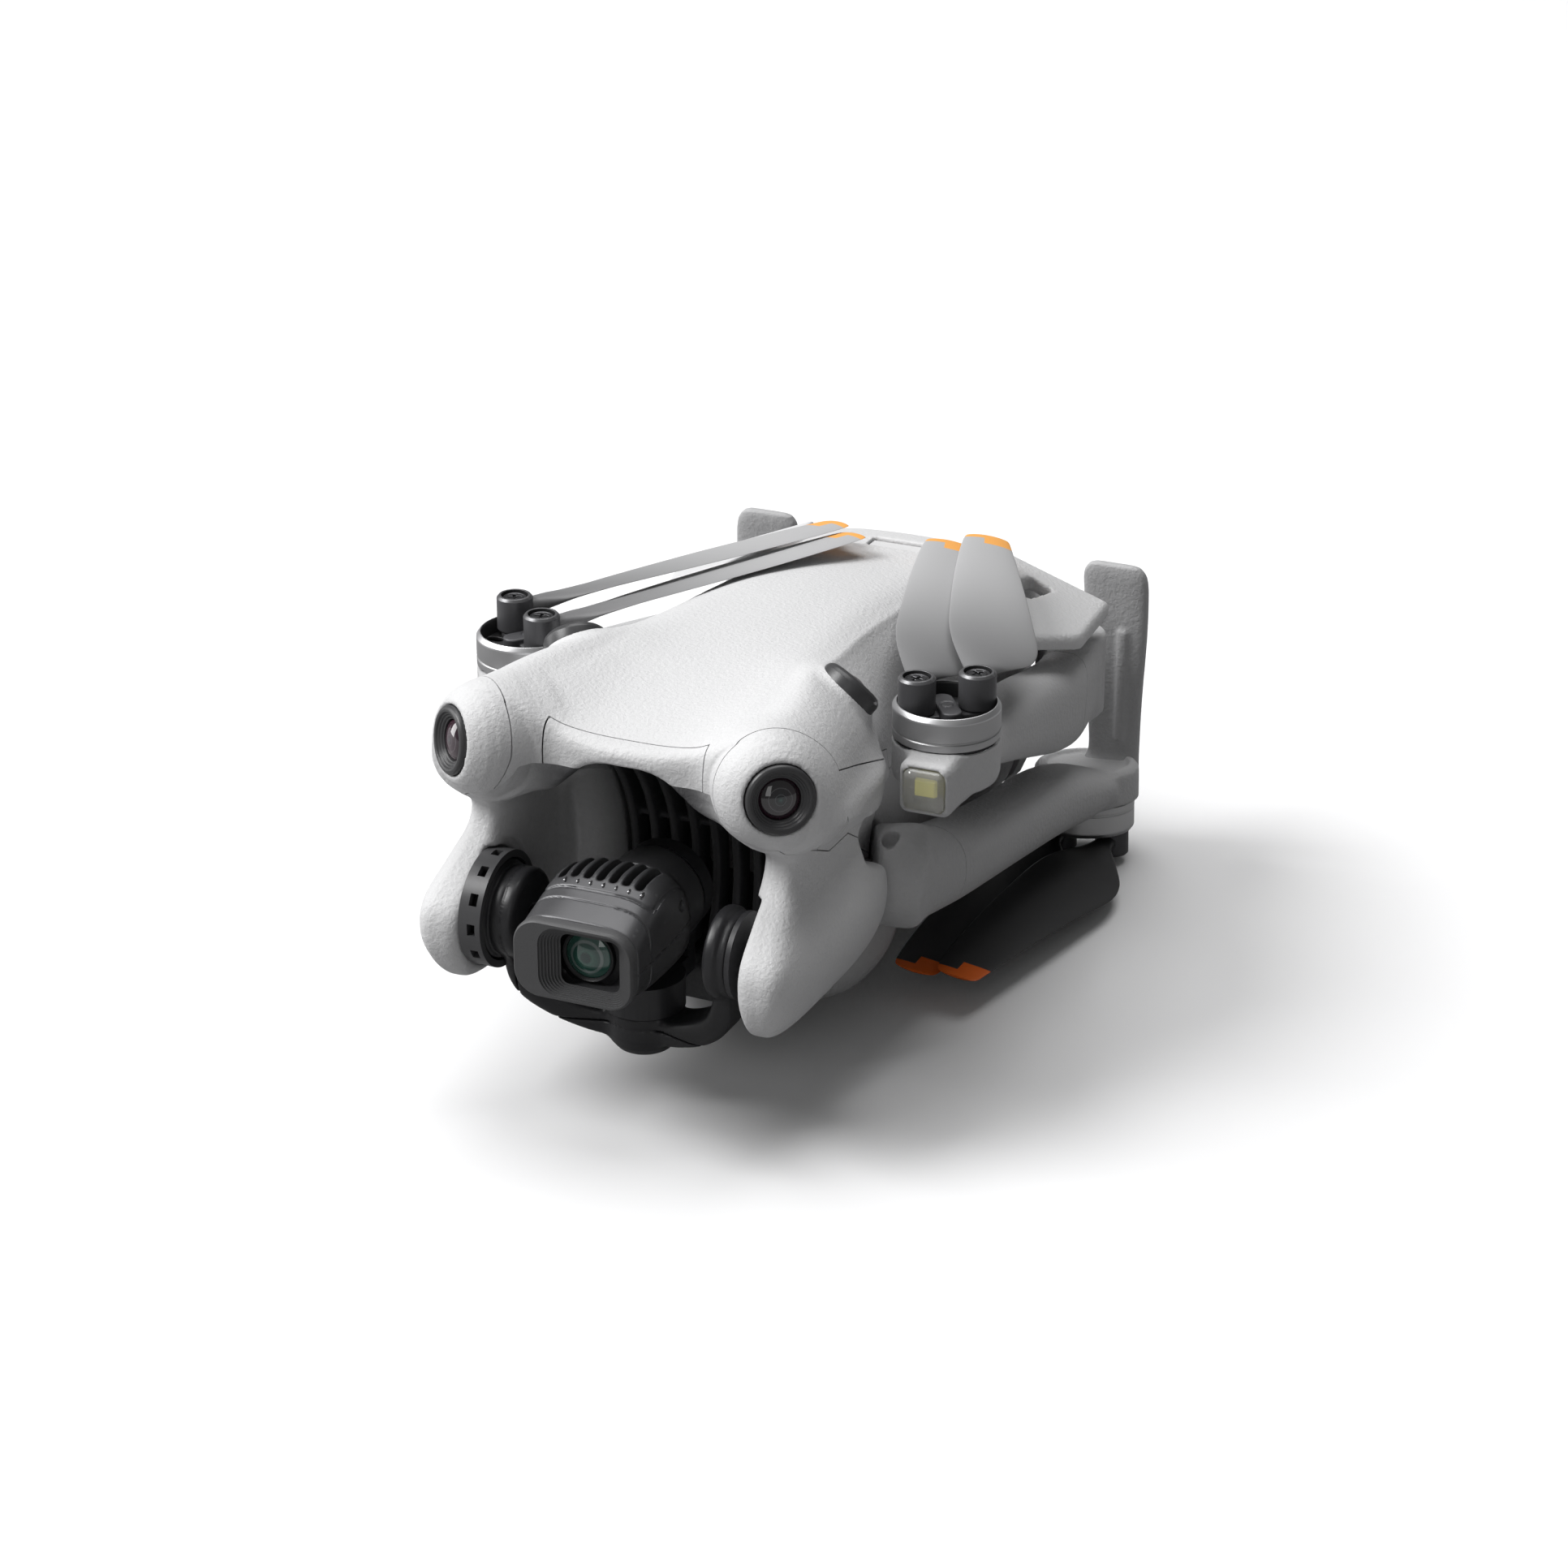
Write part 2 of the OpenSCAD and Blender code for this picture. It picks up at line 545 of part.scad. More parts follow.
// hub on the local origin, blade along +x before the yaw
module blade(yaw, pitch, tip_rise) difference() {
  rotate([0,0,yaw]) union() {
    rotate_extrude() polygon(
      [[0,4.45],[hub_r-0.25,4.45],[hub_r,4.7],[hub_r,10.2],[hub_r-0.45,10.7],[0,10.7]]);
    loft([for (station=smooth(blade_stations)) let(
        x=station[0]*blade_len/table_len,
        twist=pitch*station[4],
        z=8.0+tip_rise*pow(x/table_len,2))
      [for (p=oval(station[2],station[3],2.2,14)) let(y=station[1]+p.x)
        [x, y*cos(twist)-p.y*sin(twist), z+y*sin(twist)+p.y*cos(twist)]]]);
  }
  cylinder(r=blade_screw_r+run_gap,h=20);
  disc(9.4, 2.3, 5);
}
// side: 1 is the outer hub, -1 the inner hub
module rear_blade(side, yaw) on_rear_motor() rotate([0,0,rear_hub_angle])
  translate([side*hub_off,0,0]) rotate([0,0,-rear_hub_angle]) blade(yaw, blade_pitch, 0);
module front_blade(side, yaw)
  on_front_motor() translate([side*hub_off,0,0]) blade(yaw, -blade_pitch, 5);
module blade_rear_right_outer() color(mid) rear_blade(1,110);
module blade_rear_right_inner() color(mid) rear_blade(-1,107.6);
module blade_rear_left_outer() color(mid) flip() rear_blade(1,118.4);
module blade_rear_left_inner() color(mid) flip() rear_blade(-1,115.4);
module blade_front_right_outer() color(dark) front_blade(1,92.5);
module blade_front_right_inner() color(dark) front_blade(-1,90.5);
module blade_front_left_outer() color(dark) flip() front_blade(1,92.5);
module blade_front_left_inner() color(dark) flip() front_blade(-1,90.5);

// ---- gimbal ----
module tilt_motor() color(dark) on_tilt_axis(tilt_motor_x) union() {
  cylinder(r=tilt_motor_r,h=1.2);
  difference() {
    cylinder(r=tilt_motor_r,h=3.9);
    disc(1, 8.5, 5);
    for (a=[0:30:330]) rotate([0,0,a]) box([8,-1,1.6], [3,2,1.4]);
  }
  cylinder(r=tilt_shaft_r,h=6.5);
}
module tilt_bearing() color(dark) on_tilt_axis(21.3) union() {
  cylinder(r=7.2,h=0.85);
  disc(-2.5, tilt_shaft_r, 3);
}

// centre x, y, z, half thickness, half width, turn of the section about y
yoke_stations = [
 [18.4,-64.6,32,1.2,3.6,0], [18.6,-64,27,1.6,3.7,10], [17.2,-63,22.4,2.1,3.5,35],
 [13.4,-61,18.8,2.3,3.3,55], [8,-58.8,16.2,2.3,3.4,75], [2,-57,15.2,2.4,3.8,90]];
module gimbal_yoke() color(dark) difference() {
  union() {
    // tilt hubs: x, radius, length
    for (hub=[[-22.8,8.2,2.6],[-20.4,7.5,4.6],[17.4,7.6,2.5],[19.8,7.0,1.4]])
      on_tilt_axis(hub[0]) cylinder(r=hub[1],h=hub[2]);
    for (side=[-1,1]) loft([for (s=smooth(yoke_stations)) [for (p=oval(s[3],s[4],3,14))
      [side*(s[0]+p.x*cos(s[5])), s[1]+p.y, s[2]-p.x*sin(s[5])]]]);
    translate(pan_at) rotate_extrude() polygon(
      [[0,10],[3,10.3],[5,11.6],[6.2,13.6],[6.2,18.2],[0,18.2]]);
  }
  on_tilt_axis(-28) cylinder(r=tilt_shaft_r+run_gap,h=60);
  translate(pan_at) disc(15, pan_shaft_r+run_gap, 4);
}
module pan_bracket() color(dark) union() {
  translate(pan_at) {
    disc(15.2, pan_shaft_r, 4);
    disc(18.4, 6.8, 5.4);
    box([-4,0,20.4], [8,11,3.2]);
    box([-4,8.4,20.4], [8,2.6,14]);
  }
  on_roll_axis(-46) cylinder(r=8.0,h=3.2);
  on_roll_axis(-48.5) cylinder(r=roll_shaft_r,h=7);
}

// ---- camera ----
// y, centre x and z from the roll axis, half width, half height, squareness
cam_stations = [
 [-55.5, 0,0, 7.8,7.8, 2], [-58.5, 0,0.2, 9.8,8.0, 2.6],
 [-62, 0,1.6, cam_w/2,cam_h/2+1.8, 3.2], [-68, -0.2,1.8, cam_w/2,cam_h/2+2.0, 3.6],
 [-73, -0.4,0.9, cam_w/2,cam_h/2+0.7, 4], [-78, -0.6,0.2, cam_w/2,cam_h/2-0.6, 4.4]];
bezel_stations = [
 [-78.05, -0.6,0.2, cam_w/2-0.2,cam_h/2-0.8, 4.4], [-79.6, -0.7,0.2, cam_w/2-0.3,cam_h/2-0.9, 4.4],
 [-80.1, -0.7,0.2, cam_w/2-0.9,cam_h/2-1.5, 4.4]];
module cam_loft(stations) translate([roll_at[0],0,roll_at[1]])
  loft([for (station=stations) ring_y(station, station[5], 28)]);
// block through the lens opening, each side moved in by the insets
module window_cut(y, depth, inset_x=0, inset_z=0) {
  size = cam_window_size-2*[inset_x,inset_z];
  box([cam_window[0]-size[0]/2,y,cam_window[1]-size[1]/2], [size[0],depth,size[1]]);
}
module camera_body() color([0.25,0.25,0.26]) difference() {
  union() {
    on_roll_axis(-49.4) cylinder(r=8.4,h=8);
    cam_loft(smooth(cam_stations));
  }
  on_roll_axis(-48) cylinder(r=roll_shaft_r+run_gap,h=9);
  // slots across the top
  for (i=[0:7]) box([roll_at[0]-8.6+2.25*i,-69.5,roll_at[1]+9.6], [1.3,8,3]);
  window_cut(-83, 9.5);
}
module camera_bezel() color(dark) difference() {
  cam_loft(bezel_stations);
  for (i=[0:5]) window_cut(-80.2+0.4*i, 5, 0.45*i, 0.3*i);
}
module camera_lens() color([0.1,0.3,0.25]) union() {
  facing_front([cam_window[0],-73.5,cam_window[1]]) cylinder(r=4.4,h=2.3);
  facing_front([cam_window[0],-75.7,cam_window[1]]) cylinder(r=3.2,h=0.9);
}

// the origin of the finished model is the middle of its footprint, at its lowest point
module seat() translate([0,3.7,-1.5366]) children();
seat() top_shell();
seat() lower_shell();
seat() nose_cover();
seat() tail_deck();
seat() cheek_guards();
seat() intake_grille();
seat() front_lens_rings();
seat() front_lens_glass();
seat() rear_lens_rings();
seat() rear_lens_glass();
seat() main_board();
seat() heat_sink();
seat() status_leds();
seat() belly_window();
seat() belly_lenses();
seat() belly_light();
seat() arm_pins();
seat() shell_screws();
seat() tilt_motor();
seat() tilt_bearing();
seat() fan_rotor();
seat() power_button();
seat() battery_pack();
seat() charge_port();
seat() latch_right();
seat() latch_left();
seat() rear_arm_right();
seat() rear_arm_left();
seat() lamp_right();
seat() lamp_left();
seat() front_arm_right();
seat() front_arm_left();
seat() leg_right();
seat() leg_left();
seat() stator_rear_right();
seat() stator_rear_left();
seat() stator_front_right();
seat() stator_front_left();
seat() bell_rear_right();
seat() bell_rear_left();
seat() bell_front_right();
seat() bell_front_left();
seat() clamp_rear_right();
seat() clamp_rear_left();
seat() clamp_front_right();
seat() clamp_front_left();
seat() blade_rear_right_outer();
seat() blade_rear_right_inner();
seat() blade_rear_left_outer();
seat() blade_rear_left_inner();
seat() blade_front_right_outer();
seat() blade_front_right_inner();
seat() blade_front_left_outer();
seat() blade_front_left_inner();
seat() gimbal_yoke();
seat() pan_bracket();
seat() camera_body();
seat() camera_bezel();
seat() camera_lens();
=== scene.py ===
"""Folded camera drone standing on its motors and legs.

It points along -Y with +Z up. Parts called "right" lie at +X, "left" is their mirror image.
The arms are folded: the rear arms bring their motors forward, high beside the nose, and the
front arms bring theirs back, low beside the tail. Most forms are signed distance fields
(negative inside), in millimetres, turned into meshes on a grid.
"""
import functools
import math

import bpy
import numpy as np
from mathutils import Matrix, Vector


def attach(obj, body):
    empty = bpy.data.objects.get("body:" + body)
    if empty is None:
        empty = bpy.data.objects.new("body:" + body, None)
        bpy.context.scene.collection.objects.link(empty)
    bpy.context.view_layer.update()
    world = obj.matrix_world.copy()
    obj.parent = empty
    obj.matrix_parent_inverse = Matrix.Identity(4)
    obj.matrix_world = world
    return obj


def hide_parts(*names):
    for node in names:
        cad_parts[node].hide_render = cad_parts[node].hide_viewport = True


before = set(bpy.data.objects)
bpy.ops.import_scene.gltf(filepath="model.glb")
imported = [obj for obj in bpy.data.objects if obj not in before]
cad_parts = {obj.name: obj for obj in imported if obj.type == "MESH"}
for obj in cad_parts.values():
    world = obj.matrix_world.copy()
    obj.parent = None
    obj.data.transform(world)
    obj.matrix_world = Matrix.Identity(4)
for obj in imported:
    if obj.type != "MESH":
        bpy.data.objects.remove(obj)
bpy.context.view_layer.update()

F32 = np.float32
MM = 0.001
SEAT = np.array([0, 3.7, -1.5366])  # from the frame the shapes are drawn in to the model's, mm
SIDES = (("right", False), ("left", True))  # name, mirrored
CORNERS = [(a, b, c) for a in (0, 1) for b in (0, 1) for c in (0, 1)]  # of a grid cell


def pick(full):
    return full


# ------------------------------------------------------------------ curves and frames
def catmull_rom(a, b, c, d, t):
    return 0.5 * (2 * b + (c - a) * t + (2 * a - 5 * b + 4 * c - d) * t * t
                  + (3 * b - a - 3 * c + d) * t ** 3)


def spline_rows(table, per=24):
    """Catmull-Rom through the rows of a table, every column, `per` steps between rows."""
    rows = np.asarray(table, float)
    last = len(rows) - 1
    out = []
    for i in range(last):
        a, b, c, d = rows[max(i - 1, 0)], rows[i], rows[i + 1], rows[min(i + 2, last)]
        for k in range(per):
            out.append(catmull_rom(a, b, c, d, k / per))
    out.append(rows[-1])
    return np.array(out)


def columns_at(table, key):
    """Columns 1.. of a table at the values key of column 0 (held flat outside)."""
    rows = spline_rows(table)
    if rows[0, 0] > rows[-1, 0]:
        rows = rows[::-1]
    key = np.asarray(key, float)
    return [np.interp(key, rows[:, 0], rows[:, c]) for c in range(1, rows.shape[1])]


def step(a, b, x):
    """Smooth step from 0 at a to 1 at b."""
    t = np.clip((x - a) / (b - a), 0, 1)
    return t * t * (3 - 2 * t)


def rotation(rx=0, ry=0, rz=0):
    """Matrix turning about x, then y, then z, in degrees."""
    a, b, c = map(math.radians, (rx, ry, rz))
    about_x = np.array([[1, 0, 0], [0, math.cos(a), -math.sin(a)], [0, math.sin(a), math.cos(a)]])
    about_y = np.array([[math.cos(b), 0, math.sin(b)], [0, 1, 0], [-math.sin(b), 0, math.cos(b)]])
    about_z = np.array([[math.cos(c), -math.sin(c), 0], [math.sin(c), math.cos(c), 0], [0, 0, 1]])
    return about_z @ about_y @ about_x


def axis_turn(axis, degrees):
    x, y, z = np.array(axis, float) / np.linalg.norm(axis)
    cross = np.array([[0, -z, y], [z, 0, -x], [-y, x, 0]])
    t = math.radians(degrees)
    return np.eye(3) + math.sin(t) * cross + (1 - math.cos(t)) * cross @ cross


def local(X, Y, Z, centre, axes):
    """Coordinates in a frame placed at centre, its axes the columns of a matrix."""
    x, y, z = X - centre[0], Y - centre[1], Z - centre[2]
    return [(x * axes[0, i] + y * axes[1, i] + z * axes[2, i]).astype(F32) for i in range(3)]


# ------------------------------------------------------------------ distance fields
def grid(lo, hi, h):
    count = [int(math.ceil((b - a) / h)) + 1 for a, b in zip(lo, hi)]
    x, y, z = [(lo[i] + h * np.arange(count[i])).astype(F32) for i in range(3)]
    return x[:, None, None], y[None, :, None], z[None, None, :]


def fuse(a, b, k):
    """Union with a blend of width k."""
    h = np.clip(0.5 + 0.5 * (b - a) / k, 0, 1)
    return b + (a - b) * h - k * h * (1 - h)


def meet(a, b, k):
    """Intersection with a blend of width k."""
    return -fuse(-a, -b, k)


def carve(d, tool, k):
    """Take the tool away from d."""
    return meet(d, -tool, k)


def radius(u, v):
    return np.sqrt(u * u + v * v)


def superellipse(u, v, a, b, e):
    """First-order distance to |u/a|^e + |v/b|^e = 1."""
    uu, vv = np.abs(u) / a, np.abs(v) / b
    s = uu ** e + vv ** e + 1e-9
    f = s ** (1.0 / e)
    slope = s ** (1.0 / e - 1) * np.sqrt((uu ** (e - 1) / a) ** 2 + (vv ** (e - 1) / b) ** 2)
    return np.maximum((f - 1) / np.maximum(slope, 1e-6), -np.minimum(a, b))


def box(x, y, z, centre, half, edge=0.0):
    qx, qy, qz = [np.abs(v - c) - s + edge for v, c, s in zip((x, y, z), centre, half)]
    out = np.sqrt(np.maximum(qx, 0) ** 2 + np.maximum(qy, 0) ** 2 + np.maximum(qz, 0) ** 2)
    return out + np.minimum(np.maximum(qx, np.maximum(qy, qz)), 0) - edge


def rounded_corner(u, v, edge):
    """Distance to a corner of two faces u and v, rounded by edge."""
    out = np.sqrt(np.maximum(u, 0) ** 2 + np.maximum(v, 0) ** 2)
    return out, np.minimum(np.maximum(u, v), 0), edge


def drum(r, z, size, z0, z1, edge=0.0):
    """Round-edged cylinder of radius size from radial and axial coordinates."""
    out, inside, edge = rounded_corner(r - size + edge,
                                       np.abs(z - (z0 + z1) / 2) - (z1 - z0) / 2 + edge, edge)
    return out + inside - edge


def polygon(px, py, points):
    """Signed distance to a closed polygon."""
    shape = np.broadcast(px, py).shape
    x = np.broadcast_to(px, shape).reshape(-1).astype(F32)
    y = np.broadcast_to(py, shape).reshape(-1).astype(F32)
    points = np.asarray(points, F32)
    best = np.full(x.shape, 1e9, F32)
    inside = np.zeros(x.shape, bool)
    for i, a in enumerate(points):
        b = points[(i + 1) % len(points)]
        e = b - a
        length2 = float(e @ e)
        if length2 < 1e-10:
            continue
        wx, wy = x - a[0], y - a[1]
        t = np.clip((wx * e[0] + wy * e[1]) / length2, 0, 1)
        dx, dy = wx - t * e[0], wy - t * e[1]
        np.minimum(best, dx * dx + dy * dy, out=best)
        if e[1] != 0:
            inside ^= ((a[1] > y) != (b[1] > y)) & (x < a[0] + (y - a[1]) * (e[0] / e[1]))
    d = np.sqrt(best)
    d[inside] *= -1
    return d.reshape(shape)


def revolved(r, z, profile):
    """Solid turned from an (r, z) profile that starts and ends on the axis."""
    return polygon(r, z, profile + [(-a, b) for a, b in profile[::-1]])


def loft_y(X, Y, Z, table, e=None, k=0.8):
    """Superellipses standing at constant y: rows [y, x, z, half x, half z(, exponent)]."""
    columns = [c.astype(F32)[None, :, None] for c in columns_at(table, Y.ravel())]
    cx, cz, a, b = columns[:4]
    exponent = columns[4] if e is None else e
    y0, y1 = min(r[0] for r in table), max(r[0] for r in table)
    d = superellipse(X - cx, Z - cz, a, b, exponent)
    return meet(meet(d, Y - y1, k), y0 - Y, k)


def loft_z(X, Y, Z, table, e, k=0.8):
    """Superellipses lying at constant z: rows [z, x, y, half x, half y]."""
    cx, cy, a, b = [c.astype(F32)[None, None, :] for c in columns_at(table, Z.ravel())]
    d = superellipse(X - cx, Y - cy, a, b, e)
    return meet(meet(d, Z - table[-1][0], k), table[0][0] - Z, k)


# ------------------------------------------------------------------ surface extraction
def sample(d, p):
    """Trilinear value of the grid d at points p, in cells."""
    i = np.clip(np.floor(p).astype(int), 0, np.array(d.shape) - 2)
    f = (p - i).astype(F32)
    out = 0
    for o in CORNERS:
        wx, wy, wz = [f[:, k] if o[k] else 1 - f[:, k] for k in range(3)]
        out = out + wx * wy * wz * d[i[:, 0] + o[0], i[:, 1] + o[1], i[:, 2] + o[2]]
    return out


def gradient(d, p, reach=0.6):
    g = np.zeros((len(p), 3), F32)
    for k in range(3):
        o = np.zeros(3)
        o[k] = reach
        g[:, k] = (sample(d, p + o) - sample(d, p - o)) / (2 * reach)
    return g


def net_points(d, cells):
    """One point per surface cell: the mean edge crossing, then drawn onto the zero level."""
    value = {o: d[cells[:, 0] + o[0], cells[:, 1] + o[1], cells[:, 2] + o[2]] for o in CORNERS}
    total = np.zeros((len(cells), 3))
    count = np.zeros(len(cells))
    for o in CORNERS:
        for k in range(3):
            if o[k] == 0:
                q = tuple(1 if j == k else o[j] for j in range(3))
                m = (value[o] < 0) != (value[q] < 0)
                t = np.where(m, value[o] / np.where(m, value[o] - value[q], 1), 0)
                p = np.array(o, float)[None, :] + np.zeros((len(cells), 3))
                p[:, k] += t
                total += np.where(m[:, None], p, 0)
                count += m
    P = cells + total / count[:, None]
    for _ in range(3):
        v = sample(d, P)
        g = gradient(d, P, 0.35)
        move = (v / np.maximum((g * g).sum(1), 1e-4))[:, None] * g
        length = np.linalg.norm(move, axis=1, keepdims=True)
        P = P - move * np.minimum(1, 0.5 / np.maximum(length, 1e-6))
    return P


def nets(d, lo, h):
    """Surface net of the zero level: vertices (mm), quads."""
    s = d < 0
    nx, ny, nz = d.shape
    count = np.zeros((nx - 1, ny - 1, nz - 1), np.int8)
    for a, b, c in CORNERS:
        count += s[a:nx - 1 + a, b:ny - 1 + b, c:nz - 1 + c]
    active = (count > 0) & (count < 8)
    cells = np.argwhere(active)
    index = np.full(active.shape, -1, np.int32)
    index[active] = np.arange(len(cells))
    quads = []
    for k in range(3):
        near, far = [slice(1, -1)] * 3, [slice(1, -1)] * 3
        near[k], far[k] = slice(0, -1), slice(1, None)
        offset = np.ones(3, int)
        offset[k] = 0
        edges = np.argwhere(s[tuple(near)] != s[tuple(far)]) + offset
        u, v = (k + 1) % 3, (k + 2) % 3
        round_edge = []
        for du, dv in ((-1, -1), (0, -1), (0, 0), (-1, 0)):
            e = edges.copy()
            e[:, u] += du
            e[:, v] += dv
            round_edge.append(index[e[:, 0], e[:, 1], e[:, 2]])
        faces = np.stack(round_edge, 1)
        flip = ~s[edges[:, 0], edges[:, 1], edges[:, 2]]
        faces[flip] = faces[flip][:, ::-1]
        quads.append(faces)
    quads = np.concatenate(quads)
    quads = quads[(quads >= 0).all(1)]
    return net_points(d, cells) * h + np.array(lo)[None, :], quads


def net_of(field, lo, hi, h):
    return nets(field(*grid(lo, hi, h)).astype(F32), lo, h)


def unit(N):
    return N / np.maximum(np.linalg.norm(N, axis=1, keepdims=True), 1e-6)


def cuttable(d, lo, h):
    """Vertices, triangles and vertex normals of the zero level, ready for cut()."""
    V, quads = nets(d, lo, h)
    a = np.linalg.norm(V[quads[:, 0]] - V[quads[:, 2]], axis=1)
    b = np.linalg.norm(V[quads[:, 1]] - V[quads[:, 3]], axis=1)
    s = (a <= b)[:, None]  # split each quad along its shorter diagonal
    first = np.where(s, quads[:, [0, 1, 2]], quads[:, [0, 1, 3]])
    second = np.where(s, quads[:, [0, 2, 3]], quads[:, [1, 2, 3]])
    N = unit(gradient(d, (V - np.array(lo)) / h))
    return V, np.concatenate([first, second]), N


def rolled(T, start):
    """Triangles with their corners rolled to begin at start."""
    return np.stack([T[np.arange(len(T)), (start + j) % 3] for j in range(3)], 1)


def cut(mesh, f, wall=0.0):
    """Keep the side where f > 0, cut exactly. With wall, the edge is turned in by that depth."""
    V, T, N = mesh
    f = np.where(np.abs(f) < 1e-6, 1e-6, f)
    inside = f[T] > 0
    count = inside.sum(1)
    keep = T[count == 3]
    one = rolled(T[count == 1], inside[count == 1].argmax(1))  # inside corner first
    two = rolled(T[count == 2], (~inside[count == 2]).argmax(1) + 1)  # outside corner last
    e = np.concatenate([one[:, [0, 1]], one[:, [0, 2]], two[:, [1, 2]], two[:, [0, 2]]])
    if len(e) == 0:
        return V, keep, N
    edges, inverse = np.unique(np.sort(e, 1), axis=0, return_inverse=True)
    new = len(V) + inverse.ravel()
    fa, fb = f[edges[:, 0]], f[edges[:, 1]]
    t = (fa / (fa - fb))[:, None]
    a, b = len(one), len(two)
    ab, ac, bc, ca = new[:a], new[a:2 * a], new[2 * a:2 * a + b], new[2 * a + b:]
    out = [keep, np.stack([one[:, 0], ab, ac], 1),
           np.stack([two[:, 0], two[:, 1], bc], 1), np.stack([two[:, 0], bc, ca], 1)]
    V2 = np.concatenate([V, V[edges[:, 0]] * (1 - t) + V[edges[:, 1]] * t])
    N2 = np.concatenate([N, unit(N[edges[:, 0]] * (1 - t) + N[edges[:, 1]] * t)])
    if wall:
        border = np.concatenate([np.stack([ab, ac], 1), np.stack([bc, ca], 1)])
        rim, inverse = np.unique(border, return_inverse=True)
        inverse = inverse.reshape(border.shape)
        p, q = len(V2) + inverse[:, 0], len(V2) + inverse[:, 1]
        p2, q2 = p + len(rim), q + len(rim)
        V2 = np.concatenate([V2, V2[rim], V2[rim] - N2[rim] * wall])
        N2 = np.concatenate([N2, N2[rim], N2[rim]])
        out += [np.stack([q, p, p2], 1), np.stack([q, p2, q2], 1)]
    T2 = np.concatenate(out)
    used = np.unique(T2)
    remap = np.full(len(V2), -1)
    remap[used] = np.arange(len(used))
    return V2[used], remap[T2], N2[used]


def whole(mesh, least=25.0):
    """Drop loose slivers: only connected areas of at least `least` mm2 stay."""
    v, t, _ = mesh
    _, weld = np.unique(np.round(v, 3), axis=0, return_inverse=True)
    weld = weld.ravel()[t]
    label = np.arange(weld.max() + 1)
    e = np.concatenate([weld[:, :2], weld[:, 1:]])
    while True:
        a, b = label[e[:, 0]], label[e[:, 1]]
        m = a != b
        if not m.any():
            break
        np.minimum.at(label, np.maximum(a[m], b[m]), np.minimum(a[m], b[m]))
        while (label[label] != label).any():
            label = label[label]
    group = label[weld[:, 0]]
    normal = np.cross(v[t[:, 1]] - v[t[:, 0]], v[t[:, 2]] - v[t[:, 0]])
    areas = np.linalg.norm(normal, axis=1) / 2
    big = np.bincount(group, weights=areas, minlength=len(label)) >= least
    used, t = np.unique(t[big[group]], return_inverse=True)
    return v[used], t.reshape(-1, 3)


# ------------------------------------------------------------------ meshes: (vertices, faces)
def piece(name, mesh, mats, body, slot, replaces=None, mirror=False,
          attrs=None, face_mats=None, sharp=None):
    """Blender object from vertices in mm and faces (one array, or a list of arrays)."""
    V, faces = mesh
    V = (np.asarray(V, float) * ([-1, 1, 1] if mirror else [1, 1, 1]) + SEAT) * MM
    groups = [faces] if isinstance(faces, np.ndarray) else faces
    groups = [g for g in groups if len(g)]
    if mirror:
        groups = [g[:, ::-1] for g in groups]
    me = bpy.data.meshes.new(name)
    me.vertices.add(len(V))
    me.vertices.foreach_set("co", V.astype(F32).ravel())
    loops = np.concatenate([g.ravel() for g in groups]).astype(np.int32)
    sizes = np.concatenate([np.full(len(g), g.shape[1]) for g in groups]).astype(np.int32)
    starts = np.concatenate([[0], np.cumsum(sizes)[:-1]]).astype(np.int32)
    me.loops.add(len(loops))
    me.loops.foreach_set("vertex_index", loops)
    me.polygons.add(len(sizes))
    me.polygons.foreach_set("loop_start", starts)
    me.polygons.foreach_set("loop_total", sizes)
    me.polygons.foreach_set("use_smooth", np.ones(len(sizes), bool))
    for m in mats if isinstance(mats, list) else [mats]:
        me.materials.append(m)
    if face_mats is not None:
        me.polygons.foreach_set("material_index", np.asarray(face_mats, np.int32))
    me.update(calc_edges=True)
    me.validate()
    for key, values in (attrs or {}).items():
        layer = me.attributes.new(key, "FLOAT", "POINT")
        layer.data.foreach_set("value", np.asarray(values, F32))
    if sharp is not None:
        me.set_sharp_from_angle(angle=math.radians(sharp))
    o = bpy.data.objects.new(name, me)
    bpy.context.scene.collection.objects.link(o)
    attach(o, body)
    if replaces:
        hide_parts(replaces)


def outward(V, faces):
    """Turn a closed form the right way out, from its signed volume."""
    volume = 0.0
    for g in faces:
        for k in range(1, g.shape[1] - 1):
            cross = np.cross(V[g[:, k]], V[g[:, k + 1]])
            volume += np.einsum("ij,ij->i", V[g[:, 0]], cross).sum()
    return V, ([g[:, ::-1] for g in faces] if volume < 0 else faces)


def lathe(profile, n=96):
    """Revolve (r, z) points about z; points on the axis close the form."""
    V, circles = [], []
    for r, z in profile:
        if r < 1e-6:
            circles.append([len(V)])
            V.append((0, 0, z))
        else:
            circles.append(list(range(len(V), len(V) + n)))
            for i in range(n):
                a = 2 * math.pi * i / n
                V.append((r * math.cos(a), r * math.sin(a), z))
    T, quads = [], []
    for A, B in zip(circles, circles[1:]):
        for i in range(n):
            j = (i + 1) % n
            if len(A) == 1:
                T.append((A[0], B[j], B[i]))
            elif len(B) == 1:
                T.append((A[i], A[j], B[0]))
            else:
                quads.append((A[i], A[j], B[j], B[i]))
    return outward(np.array(V, float),
                   [np.array(T, int).reshape(-1, 3), np.array(quads, int).reshape(-1, 4)])


